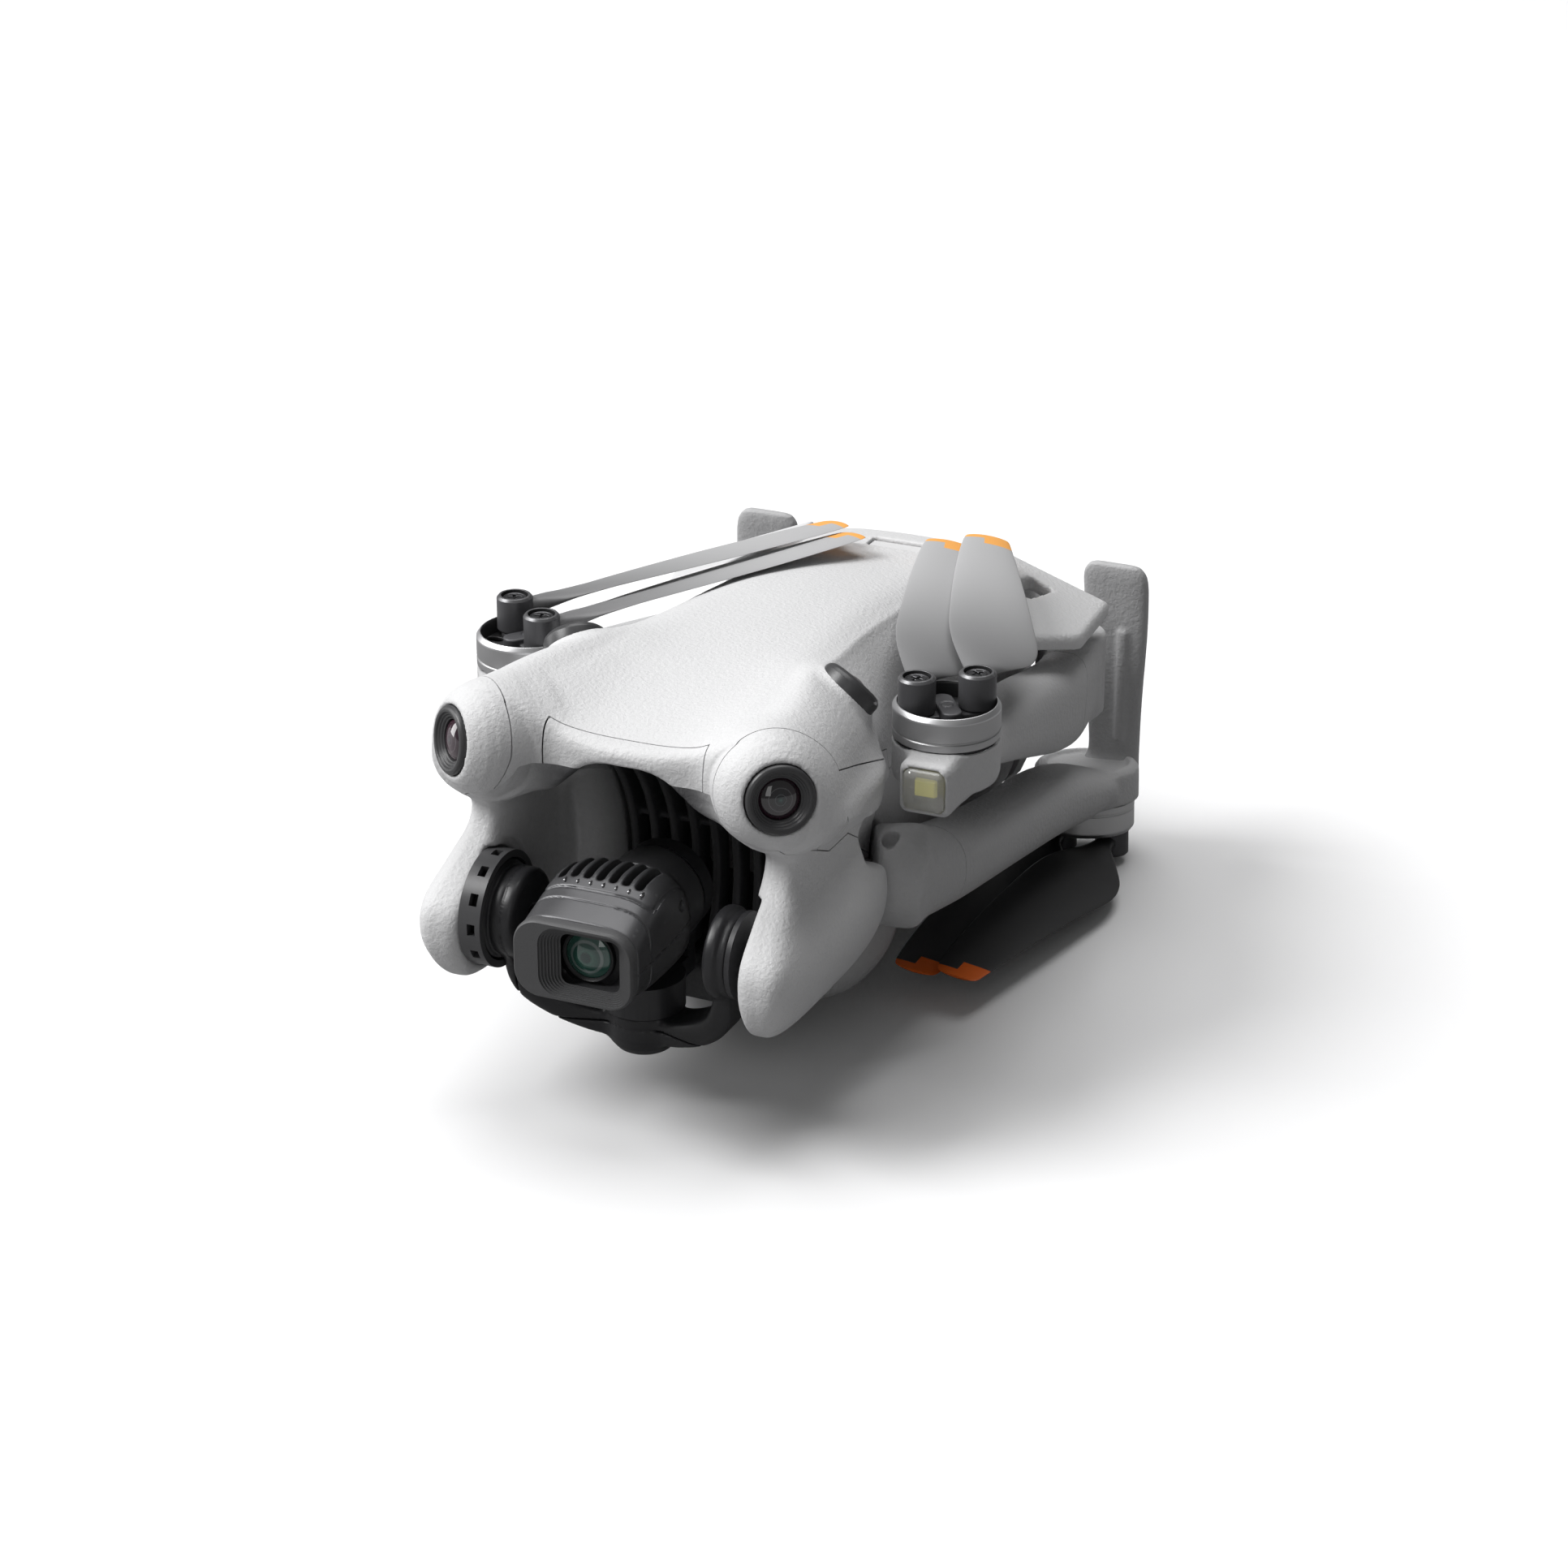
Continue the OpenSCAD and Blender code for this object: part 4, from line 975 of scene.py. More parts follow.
def low_seam(y):
    """Height of the seam between the flank of the nose and the cheek, with its small jog."""
    return np.where(y < -51.2, 55.2 - 0.44 * (y + 66.0),
                    np.where(y < -43.9, 48.7, 48.8 - 0.62 * (y + 43.9)))


def in_bay(P):
    x, y, z = half_space(P)
    r = np.hypot(y - TILT_Y, z - TILT_Z)
    swept = least(28.5 - r, 24.9 - x, 61.0 - z, y + 71.8 - 0.35 * np.maximum(z - 46, 0))
    return np.maximum(swept, least(y + 55.0, 13.0 - x, 61.5 - z, -5 - y))


def in_nose(P):
    """Pods, flanks behind them and brow."""
    x, y, z = half_space(P)
    q = (np.stack([x, y, z], 1) - POD[0]) @ POD[1]
    r = np.hypot(q[:, 0], q[:, 1])
    pod = least(q[:, 2] + 5.2 + 0.22 * np.clip(q[:, 1], -12, 0), 13.6 - r)
    flank = least(63.8 - 0.325 * (y + 52.3) - z, z - low_seam(y), -19.0 - y, x - 18.0, y + 56.0)
    middle = least(-60.25 - 0.004 * x * x - y, z - 55.5, 14.0 - x)
    return np.maximum(np.maximum(pod, flank), middle)


def in_cheek(P):
    x, y, z = half_space(P)
    return least(low_seam(y) + 0.3 * (y < -60) - z, -30.6 - y, x - 19.5)


def in_deck(P):
    x, y, z = half_space(P)
    return least(x - 21.6, y - 23.0, z - 49.6) - GAP


def in_top(P):
    return P[:, 2] - 49.4


def fuselage():
    """Take the covers off the skin one after another; what is left over is the belly."""
    # name, material, replaced part, slot, seam, whether the seam is open and walled
    covers = (
        ("bay_liner", "baywall", None, "gimbal_black", in_bay, False),
        ("nose_trim", "shell", "nose_cover", "shell_plastic", in_nose, True),
        ("cheek_covers", "shell", "cheek_guards", "shell_plastic", in_cheek, True),
        ("tail_wing", "shell", "tail_deck", "shell_plastic", in_deck, False),
        ("upper_shell", "shell", "top_shell", "shell_plastic", in_top, True))
    rest = cuttable(BODY, BODY_LO, BODY_H)
    for name, mat, replaces, slot, seam, is_open in covers:
        gap, wall = (GAP, 0.9) if is_open else (0.0, 0.0)
        f = seam(rest[0])
        piece(name, whole(cut(rest, f - gap, wall)), M[mat], "airframe", slot, replaces)
        rest = cut(rest, -f - gap, wall)
    piece("belly_shell", whole(rest), M["arm"], "airframe", "shell_plastic", "lower_shell")


fuselage()

# ------------------------------------------------------------------ folded arms, legs and lamps
REAR_MOTOR = np.array([38.1, -21.7, 58.7]), np.eye(3)
FRONT_MOTOR = np.array([33, 62.5, 12.8]), rotation(173.4, -3.5, 0)
MOTOR_BORE = 8.25  # radius of the seat in the mounts and of the plate in the can
# Arms along y: y, centre x, z, half width x, z
REAR_ARM = [
    [55, 32.4, 39.2, 5.0, 7.6], [44, 33.8, 39.2, 5.1, 8.1], [34, 34.4, 41.0, 5.1, 7.9],
    [24, 34.9, 43.8, 5.1, 7.4], [12, 35.7, 47.2, 5.2, 6.5], [0, 36.4, 50.4, 5.4, 5.6],
    [-10, 37.2, 53.0, 6.4, 4.6], [-17, 37.8, 54.4, 7.2, 3.4]]
FRONT_ARM = [
    [-24, 30.8, 31.6, 5.4, 7.6], [-16, 31.0, 30.4, 6.0, 7.8], [-6, 31.2, 28.0, 6.2, 7.2],
    [6, 31.4, 25.6, 6.2, 6.6], [22, 31.8, 22.9, 6.0, 6.3], [38, 32.4, 20.7, 6.3, 6.2],
    [49, 33.0, 18.6, 7.2, 5.4], [57, 33.4, 17.0, 7.6, 4.0]]
# Leg along z: z, centre x, y, half width x, y
LEG = [
    [13, 35.2, 69.6, 5.2, 1.9], [20, 35.4, 70.2, 4.8, 1.7], [30, 35.2, 70.2, 5.2, 1.6],
    [42, 35.2, 70.0, 5.8, 1.55], [50, 35.0, 69.8, 6.1, 1.5], [54, 34.8, 69.6, 6.0, 1.4],
    [55.8, 34.7, 69.5, 5.0, 1.1], [56.4, 34.7, 69.4, 3.8, 0.7]]
# Motor mounts: r, z (absolute z for the rear, from the motor's centre for the front)
REAR_MOUNT = [(0, 50.4), (6.2, 50.4), (7.6, 50.9), (8.5, 51.6), (8.9, 52.8), (8.9, 58.3),
              (8.75, 58.4), (0, 58.4)]
FRONT_MOUNT = [(0, -6.1), (7.0, -6.1), (7.45, -6.45), (8.2, -6.75), (9.0, -6.4), (9.6, -5.6),
               (9.65, -4.6), (9.65, -0.15), (9.5, 0.05), (0, 0.05)]
LAMP_X, LAMP_Z = 39.4, 54.0
SWING_AXIS = (-0.889256, -0.445306, 0.104528)
SWING_ANGLES = (12, 25, 40, 60, 80, 100, 120, 135, 147, 156, 165)


def rear_arm(X, Y, Z):
    d = loft_y(X, Y, Z, REAR_ARM, 3.2, 1.2)
    hinge_r = radius(X - 31, Y - 57)
    d = fuse(d, drum(hinge_r, Z, 6.35, 31.7, 47.2, edge=0.8), 2.0)
    motor_r = radius(X - REAR_MOTOR[0][0], Y - REAR_MOTOR[0][1])
    d = fuse(d, revolved(motor_r, Z, REAR_MOUNT), 1.4)
    # lamp housing under the motor, hollowed at its front
    d = fuse(d, box(X, Y, Z, (LAMP_X, -30.2, LAMP_Z), (4.5, 4.7, 4.5), 1.6), 1.6)
    d = carve(d, box(X, Y, Z, (LAMP_X, -34.2, LAMP_Z), (3.62, 1.9, 3.62), 1.4), 0.2)
    d = carve(d, drum(motor_r, Z, MOTOR_BORE, 57.85, 70), 0.1)
    return carve(d, drum(hinge_r, Z, 2.2, 20, 60), 0.1)


def clear_swing(d, X, Y, Z):
    """Pare the arm so that it swings past the body with a running gap."""
    i, j, k = np.where((d < 0.9) & (Y < 12))
    P = np.stack([X.ravel()[i], Y.ravel()[j], Z.ravel()[k]], 1)
    top = np.array(BODY.shape) - 2
    centre = HINGE[0]
    for degrees in SWING_ANGLES:
        swung = centre + (P - centre) @ axis_turn(SWING_AXIS, degrees).T
        q = (swung - np.array(BODY_LO)) / BODY_H
        ok = ((q > 0) & (q < top)).all(1)
        s = np.full(len(P), 30.0)
        s[ok] = sample(BODY, q[ok])
        d[i, j, k] = np.maximum(d[i, j, k], 0.3 - s)
    return d


def front_arm(X, Y, Z):
    fx, fy, fz = local(X, Y, Z, *HINGE)
    fr = radius(fx, fy)
    d = loft_y(X, Y, Z, FRONT_ARM, 2.5, 1.4)
    d = fuse(d, drum(fr, fz, 8.3, -3.95, 4.25, edge=1.2), 2.5)
    lx, ly, lz = local(X, Y, Z, *FRONT_MOTOR)
    lr = radius(lx, ly)
    d = fuse(d, revolved(lr, lz, FRONT_MOUNT), 1.6)
    # shallow dish in the back of the motor mount
    d = carve(d, drum(lr, lz, 7.55, -16.0, -5.95, edge=0.4), 0.6)
    d = carve(d, drum(lr, lz, MOTOR_BORE, -0.85, 9), 0.1)
    d = carve(d, drum(fr, fz, 2.4, -20, 2.6), 0.15)
    # oval pocket near the root
    pocket = np.sqrt(((Y + 24.0) / 1.35) ** 2 + (X - 29.4) ** 2) - 1.35
    d = carve(d, meet(pocket, 37.2 - Z, 0.1), 0.35)
    return clear_swing(d, X, Y, Z)


def leg(X, Y, Z):
    d = loft_z(X, Y, Z, LEG, 3.6, 0.5)
    d = fuse(d, box(X, Y, Z, (37.0, 68.6, 33), (0.9, 0.8, 11), 0.7), 1.0)  # rib
    d = fuse(d, box(X, Y, Z, (34.9, 66.4, 15.2), (4.6, 3.4, 2.6), 1.2), 2.2)  # foot block
    lx, ly, lz = local(X, Y, Z, *FRONT_MOTOR)
    return carve(d, drum(radius(lx, ly), lz, 9.75, -0.6, 30), 0.3)


def in_rear_root(P):
    """Positive on the hinge block of the rear arm."""
    z = P[:, 2] - 42
    return P[:, 1] - (44.6 + 0.35 * z + 0.02 * z ** 2)


def in_rear_pod(P):
    """Positive on the motor pod of the rear arm."""
    r = np.hypot(P[:, 0] - REAR_MOTOR[0][0], P[:, 1] - REAR_MOTOR[0][1])
    return np.maximum(10.4 - r - 0.5 * np.maximum(52.0 - P[:, 2], 0), -28.0 - P[:, 1])


def in_front_tube(P):
    return P[:, 1] - (-9.4 - 0.030 * (P[:, 2] - 29.5) ** 2)


def arm_pair(mesh, name, arm, seams, replaces=False):
    """Right and left piece of an arm, cut out by seams of (function, side kept)."""
    for seam, sign in seams:
        mesh = cut(mesh, sign * seam(mesh[0]) - 0.10, wall=0.8)
    mesh = whole(mesh)
    for side, mirror in SIDES:
        body = arm + "_arm_" + side
        piece("%s_%s_%s" % (name, arm, side), mesh, M["arm"], body, "arm_plastic",
              body if replaces else None, mirror)


def cuttable_of(field, lo, hi, h):
    return cuttable(field(*grid(lo, hi, h)).astype(F32), lo, h)


ARM_H = pick(0.36)
rear = cuttable_of(rear_arm, (22.6, -37.2, 28.4), (47.6, 65.0, 60.5), ARM_H)
front = cuttable_of(front_arm, (18.5, -32.5, 7.2), (43.6, 73.6, 42.4), ARM_H)
leg_mesh = cuttable_of(leg, (27.5, 61.5, 11.0), (43.0, 73.4, 58.0), ARM_H * 0.85)[:2]

arm_pair(rear, "arm_tube", "rear", [(in_rear_root, -1), (in_rear_pod, -1)], replaces=True)
arm_pair(rear, "arm_root", "rear", [(in_rear_root, 1)])
arm_pair(rear, "motor_pod", "rear", [(in_rear_pod, 1)])
arm_pair(front, "arm_tube", "front", [(in_front_tube, 1)], replaces=True)
arm_pair(front, "arm_root", "front", [(in_front_tube, -1)])
for side, mirror in SIDES:
    piece("leg_blade_" + side, leg_mesh, M["leg"], "front_arm_" + side, "arm_plastic",
          "leg_" + side, mirror)


def rounded_box(centre, half, edge, h):
    lo = tuple(centre[i] - half[i] - 2 * h for i in range(3))
    hi = tuple(centre[i] + half[i] + 2 * h for i in range(3))
    return net_of(lambda X, Y, Z: box(X, Y, Z, centre, half, edge), lo, hi, h)


cover_mesh = rounded_box((LAMP_X, -33.9, LAMP_Z), (3.55, 1.75, 3.55), 1.4, 0.2)
chip_mesh = rounded_box((LAMP_X, -33.2, 54.2), (1.7, 0.35, 1.35), 0.15, 0.12)
for side, mirror in SIDES:
    piece("lamp_cover_" + side, cover_mesh, M["lamp"], "rear_arm_" + side, "lamp_diffuser",
          "lamp_" + side, mirror)
    piece("lamp_chip_" + side, chip_mesh, M["chip"], "rear_arm_" + side, "lamp_diffuser",
          mirror=mirror)

# ------------------------------------------------------------------ rotors
# Drawn about the motor's axis z, with z = 0 at its centre.
HUB_OFFSET = 5.08  # of each blade's hub from the motor axis
CAN_SLOTS = 9
# Turned profiles: r, z
SKIRT = (
    fillet([(8.2, 0.35), (8.9, 0.35), (8.9, 1.5), (8.72, 1.62), (8.72, 1.86), (8.9, 1.98),
            (8.9, 4.95)], 0.07, 3)
    + fillet([(8.9, 4.98), (8.88, 5.25), (8.35, 5.98), (8.2, 6.0)], 0.08, 3)
    + fillet([(8.15, 5.98), (8.1, 5.5), (8.1, 3.2), (8.1, 2.6), (8.2, 0.35)], 0.06, 3))
HUB = fillet([(1.62, 4.5), (2.9, 4.5), (3.1, 4.75), (3.1, 10.2), (2.7, 10.68), (2.32, 10.68),
              (2.28, 9.45), (1.62, 9.4), (1.62, 4.5)], 0.07, 3)
# Blade: x from the hub, y of mid-chord, half chord, half thickness, share of the pitch
BLADE = [
    [1.6, 0, 1.7, 1.5, .15], [6, -.1, 2.3, 1.25, .35], [11, -1, 4.6, .75, .8],
    [17, -2, 7, .6, 1], [24, -2.2, 7.9, .55, .97], [34, -1.6, 7.3, .5, .84],
    [46, -.9, 6.4, .45, .7], [58, -.3, 5.3, .4, .6], [66, 0, 4.4, .36, .52],
    [69.2, 0, 3.8, .3, .5], [70, 0, 2.8, .22, .5]]
# Yaw of the outer and inner blade, degrees
BLADE_YAW = {"rear_right": (110, 107.6), "rear_left": (118.4, 115.4),
             "front_right": (92.5, 90.5), "front_left": (92.5, 90.5)}


def can_plate(X, Y, Z):
    """Disc across the can, with a ring of radial slots."""
    d = drum(radius(X, Y), Z, MOTOR_BORE, 2.6, 3.3, edge=0.15)
    pitch = 2 * math.pi / CAN_SLOTS
    k = np.round(np.arctan2(Y, X) / pitch) * pitch
    u, w = X * np.cos(k) + Y * np.sin(k), -X * np.sin(k) + Y * np.cos(k)
    slot = np.sqrt(np.maximum(np.abs(u - 6.4) - 0.7, 0) ** 2 + w * w) - 0.85
    return carve(d, slot, 0.2)


def clamp_plate(X, Y, Z):
    """Oblong plate with a block across its middle and a ring scribed on top."""
    bottom = 3.35
    d = np.sqrt(np.maximum(np.abs(X) - 4.6, 0) ** 2 + Y * Y) - 2.6
    d = meet(meet(d, Z - 4.35, 0.25), bottom - Z, 0.2)
    block = np.sqrt(np.maximum(np.abs(Y) - 2.9, 0) ** 2 + X * X) - 1.75
    d = fuse(d, meet(meet(block, Z - 5.3, 0.3), bottom - Z, 0.2), 0.4)
    ring = meet(meet(np.abs(radius(X, Y) - 1.15) - 0.14, 5.12 - Z, 0.05), Z - 6, 0.05)
    return carve(d, ring, 0.06)


def blade_screw(X, Y, Z):
    r = radius(X, Y)
    d = drum(r, Z, 2.08, 9.5, 10.28, edge=0.22)
    d = fuse(d, drum(r, Z, 1.5, 4.45, 9.8, edge=0.1), 0.1)
    cross = np.minimum(box(X, Y, Z, (0, 0, 10.3), (1.15, 0.24, 0.55), 0.1),
                       box(X, Y, Z, (0, 0, 10.3), (0.24, 1.15, 0.55), 0.1))
    d = carve(d, cross, 0.08)
    return carve(d, meet(np.abs(r - 1.62) - 0.1, 10.16 - Z, 0.05), 0.05)


def signed_power(v, e):
    return np.sign(v) * np.abs(v) ** e


def blade(pitch, tip_rise):
    """Twisted blade along x and its attributes: distance along it, and across it."""
    m = pick(44)
    t = 2 * math.pi * (np.arange(m) + 0.5) / m
    ca, sa = np.cos(t), np.sin(t)
    sections, along, across = [], [], []
    for x, y, chord, thick, share in spline_rows(BLADE, pick(14)):
        thin = step(4, 14, x)  # 0 at the stubby root, 1 on the cambered blade
        u = signed_power(ca, 0.9 - 0.05 * thin)
        q = signed_power(sa, 0.9 + 0.5 * thin) * thick
        q = q + thin * 0.55 * (1 - u * u) * min(thick, 0.6) - thin * 0.12
        yy = y + chord * u
        a = math.radians(pitch * share)
        z = 8 + tip_rise * (x / 70) ** 2
        sections.append(np.stack([np.full(m, x), yy * math.cos(a) - q * math.sin(a),
                                  z + yy * math.sin(a) + q * math.cos(a)], 1))
        along += [x] * m
        across += list(yy)
    attrs = {"bx": along + [BLADE[0][0], BLADE[-1][0]], "by": across + [0.0, 0.0]}
    return rings(sections), attrs


plate_mesh = net_of(can_plate, (-8.7, -8.7, 2.2), (8.7, 8.7, 3.8), pick(0.2))
clamp_mesh = net_of(clamp_plate, (-7.7, -5.2, 2.9), (7.7, 5.2, 5.8), pick(0.17))
screw_mesh = net_of(blade_screw, (-2.5, -2.5, 4.0), (2.5, 2.5, 10.8), pick(0.11))

can_mesh = lathe(SKIRT, 120)
can_z, can_r = [face_mean(v, can_mesh[1]) for v in (can_mesh[0][:, 2], from_axis(can_mesh[0]))]
# side, chamfer at the top, inner wall
can_faces = np.where((can_z > 5.0) & (can_r > 8.22), 1, np.where(can_r < 8.18, 2, 0))

hub_mesh = lathe(HUB, 72)
hub_z, hub_r = [face_mean(v, hub_mesh[1]) for v in (hub_mesh[0][:, 2], from_axis(hub_mesh[0]))]
# side, chamfer at the top, bore; the bore is near-black, painted shade in the gap round the screw
hub_faces = np.where((hub_z > 10.3) & (hub_r > 2.3), 1, np.where(hub_r < 2.33, 2, 0))


def rotor(end, side, mirror, motor, clamp_yaw, can_mat, blade_parts):
    tag = end + "_" + side
    body = "rotor_" + tag

    def fit(name, mesh, mats, body, slot, **options):
        piece(name, place(mesh, *motor), mats, body, slot, mirror=mirror, **options)

    fit("can_" + tag, can_mesh, [M[can_mat], M["chamfer"], M["ring"]], body, "motor_can",
        replaces="bell_" + tag, attrs={"ax": can_mesh[0][:, 2] * MM}, face_mats=can_faces)
    fit("can_plate_" + tag, plate_mesh, M["ring"], body, "motor_can")
    turn = rotation(rz=clamp_yaw)
    fit("clamp_plate_" + tag, place(clamp_mesh, (0, 0, 0), turn), M["hub"], body, "steel",
        replaces="clamp_" + tag)
    blade_mesh, blade_attrs = blade_parts
    for which, sign, yaw in zip(("outer", "inner"), (1, -1), BLADE_YAW[tag]):
        name = tag + "_" + which
        offset = turn @ np.array([sign * HUB_OFFSET, 0, 0])
        fit("blade_screw_" + name, place(screw_mesh, offset, rotation(rz=20 + 37 * sign)),
            M["screw"], body, "steel")
        blade_body = "blade_" + name
        fit("hub_" + name, place(hub_mesh, offset, np.eye(3)),
            [M["hub"], M["hubring"], M["dark"]], blade_body, "steel", face_mats=hub_faces)
        fit("propeller_" + name, place(blade_mesh, offset, rotation(rz=yaw)),
            M["blade_" + end], blade_body, "upper_blade" if end == "rear" else "lower_blade",
            replaces=blade_body, attrs=blade_attrs)


for end, motor, clamp_yaw, can_mat, blade_parts in (
        ("rear", REAR_MOTOR, 36.2, "can", blade(pitch=19, tip_rise=0)),
        # the lower cans take the lighter copy of the can metal, which is painted light
        ("front", FRONT_MOTOR, 0, "can_lit_copy", blade(pitch=-19, tip_rise=5))):
    for side, mirror in SIDES:
        rotor(end, side, mirror, motor, clamp_yaw, can_mat, blade_parts)

# ------------------------------------------------------------------ vision lenses
# Turned profiles about the lens axis: r, z
FRONT_RING = fillet([
    (3.4, -3.0), (5.6, -3.0), (5.6, 1.45), (5.35, 1.75), (4.95, 1.9), (4.55, 1.8), (4.4, 1.45),
    (4.2, 1.42), (4.05, 1.15), (3.8, 1.12), (3.6, 0.8), (3.4, 0.78), (3.4, -3.0)], 0.1, 3)
REAR_RING = fillet([
    (3.0, -2.1), (5.4, -2.1), (5.4, 0.3), (5.15, 0.85), (4.7, 1.25), (4.3, 1.4), (3.9, 1.38),
    (3.6, 1.1), (3.3, 1.05), (3.0, 0.9), (3.0, -2.1)], 0.1, 3)
FRONT_DOME = [
    (0, 1.42), (0.5, 1.405), (1.0, 1.35), (1.5, 1.26), (2.0, 1.12), (2.5, 0.93), (2.9, 0.72),
    (3.2, 0.48), (VISION_RIM, 0.3), (VISION_RIM, -0.6), (0, -0.6)]
REAR_RIM = 2.95
REAR_DOME = [
    (0, 1.95), (0.5, 1.92), (1.0, 1.84), (1.5, 1.71), (2.0, 1.52), (2.4, 1.31), (2.7, 1.1),
    (2.9, 0.88), (REAR_RIM, 0.6), (REAR_RIM, -0.6), (0, -0.6)]
REAR_SEAT = REAR_LENS[0] + REAR_LENS[1] @ np.array([0, 0, 0.4]), REAR_LENS[1]

for end, ring, dome, seat, rim in (("front", FRONT_RING, FRONT_DOME, POD, VISION_RIM),
                                   ("rear", REAR_RING, REAR_DOME, REAR_SEAT, REAR_RIM)):
    piece("vision_rings_" + end, both_sides(place(lathe(ring), *seat)), M["ring"], "airframe",
          "gimbal_black", end + "_lens_rings")
    mesh = lathe(dome)
    lens_r = from_axis(mesh[0]) * (VISION_RIM / rim)
    piece("vision_glass_" + end, both_sides(place(mesh, *seat)), M["glass"], "airframe",
          "lens_glass", end + "_lens_glass", attrs={"lr": np.concatenate([lens_r, lens_r])})


# ------------------------------------------------------------------ grille and gimbal
def grille(X, Y, Z):
    """Seven upright ribs curved round the tilt axis, with one cross bar."""
    r = radius(Y - TILT_Y, Z - TILT_Z)
    k = np.clip(np.round(X / 3.7), -3, 3) * 3.7
    rib = meet(np.abs(X - k) - 0.72, meet(27.9 - r, r - 32.2, 0.8), 0.5)
    rib = meet(rib, meet(Z - 61.0, 21.0 - Z, 0.3), 0.3)
    rib = meet(rib, TILT_Y + 6 - Y, 0.3)
    bar = meet(np.abs(Z - 42.2) - 0.55, meet(29.4 - r, r - 32.4, 0.3), 0.3)
    return fuse(rib, meet(bar, np.abs(X) - 12.3, 0.1), 0.5)


piece("air_grille", net_of(grille, (-13.2, -58, 20.0), (13.2, -31.0, 62.0), pick(0.4)),
      M["grille"], "airframe", "intake", "intake_grille")

# Yoke arm from the tilt axis down to the middle: x, y, z, half thickness, half width along y
YOKE_ARM = spline_rows([
    [18.4, -64.6, 32, 1.2, 3.6], [18.6, -64, 27, 1.6, 3.7], [17.2, -63, 22.4, 2.1, 3.5],
    [13.4, -61, 18.8, 2.3, 3.3], [8, -58.8, 16.2, 2.3, 3.4], [2, -57, 15.2, 2.4, 3.8]],
    pick(14))
# Bowl at the foot of the yoke: r, z
BOWL = [(0, 10), (3, 10.25), (4.6, 11.1), (5.6, 12.3), (6.2, 13.9), (6.25, 18.15), (0, 18.2)]


def yoke_arms(X, Y, Z):
    ax = np.abs(X)
    best = None
    for a, b in zip(YOKE_ARM, YOKE_ARM[1:]):
        ex, ez = b[0] - a[0], b[2] - a[2]
        u = np.clip(((ax - a[0]) * ex + (Z - a[2]) * ez) / (ex * ex + ez * ez), 0, 1)
        cx, cy, cz = a[0] + u * ex, a[1] + u * (b[1] - a[1]), a[2] + u * ez
        thick, width = a[3] + u * (b[3] - a[3]), a[4] + u * (b[4] - a[4])
        p, q = np.sqrt((ax - cx) ** 2 + (Z - cz) ** 2), np.abs(Y - cy)
        out, inside, edge = rounded_corner(p - thick + 0.9, q - width + 0.9, 0.9)
        d = out - edge + inside
        best = d if best is None else np.minimum(best, d)
    return best


def yoke(X, Y, Z):
    tilt_r = radius(Y - TILT_Y, Z - TILT_Z)
    # stepped discs on the tilt axis at -X and at +X
    left_outer = drum(tilt_r, X, 8.2, -22.8, -20.25, edge=0.7)
    left_inner = drum(tilt_r, X, 7.5, -20.5, -15.85, edge=1.1)
    right_inner = drum(tilt_r, X, 7.6, 17.4, 19.9, edge=0.9)
    right_outer = drum(tilt_r, X, 7.0, 19.7, 21.15, edge=0.4)
    d = fuse(yoke_arms(X, Y, Z), np.minimum(left_inner, right_inner), 1.6)
    d = fuse(d, np.minimum(left_outer, right_outer), 0.3)
    bowl_r = radius(X, Y + 57)
    d = fuse(d, revolved(bowl_r, Z, BOWL), 1.1)
    # grooves round the bowl, in the end of the +X disc and round the -X disc
    d = carve(d, meet(np.abs(Z - 16.2) - 0.16, 6.0 - bowl_r, 0.05), 0.06)
    d = carve(d, meet(np.abs(tilt_r - 5.9) - 0.18, 20.95 - X, 0.05), 0.06)
    d = carve(d, meet(np.abs(X + 18.1) - 0.16, 7.3 - tilt_r, 0.05), 0.06)
    d = carve(d, drum(tilt_r, X, 1.55, -30, 30), 0.05)
    return carve(d, drum(bowl_r, Z, 1.3, 15, 19), 0.05)


piece("yoke_frame", net_of(yoke, (-23.6, -74.0, 9.2), (22.0, -49.4, 43.8), pick(0.3)),
      M["black"], "gimbal_yoke", "gimbal_black", "gimbal_yoke")

# ------------------------------------------------------------------ camera
CAMERA_X, CAMERA_Z = -0.6, 35  # lens axis, along -Y
SLOT_PITCH = 2.25  # of the slots and pins on top
# Housing along y: y, centre x, z, half width x, z, exponent
HOUSING = [
    [-78, -1.2, 35.2, 10.5, 6.7, 3.5], [-73, -1, 35.9, 10.5, 8, 3.7],
    [-68, -.8, 36.8, 10.5, 9.3, 3.6], [-62, -.6, 36.6, 10.5, 9.1, 3.2],
    [-58.5, -.6, 35.2, 9.8, 8, 2.6], [-55.5, -.6, 35, 7.8, 7.8, 2]]


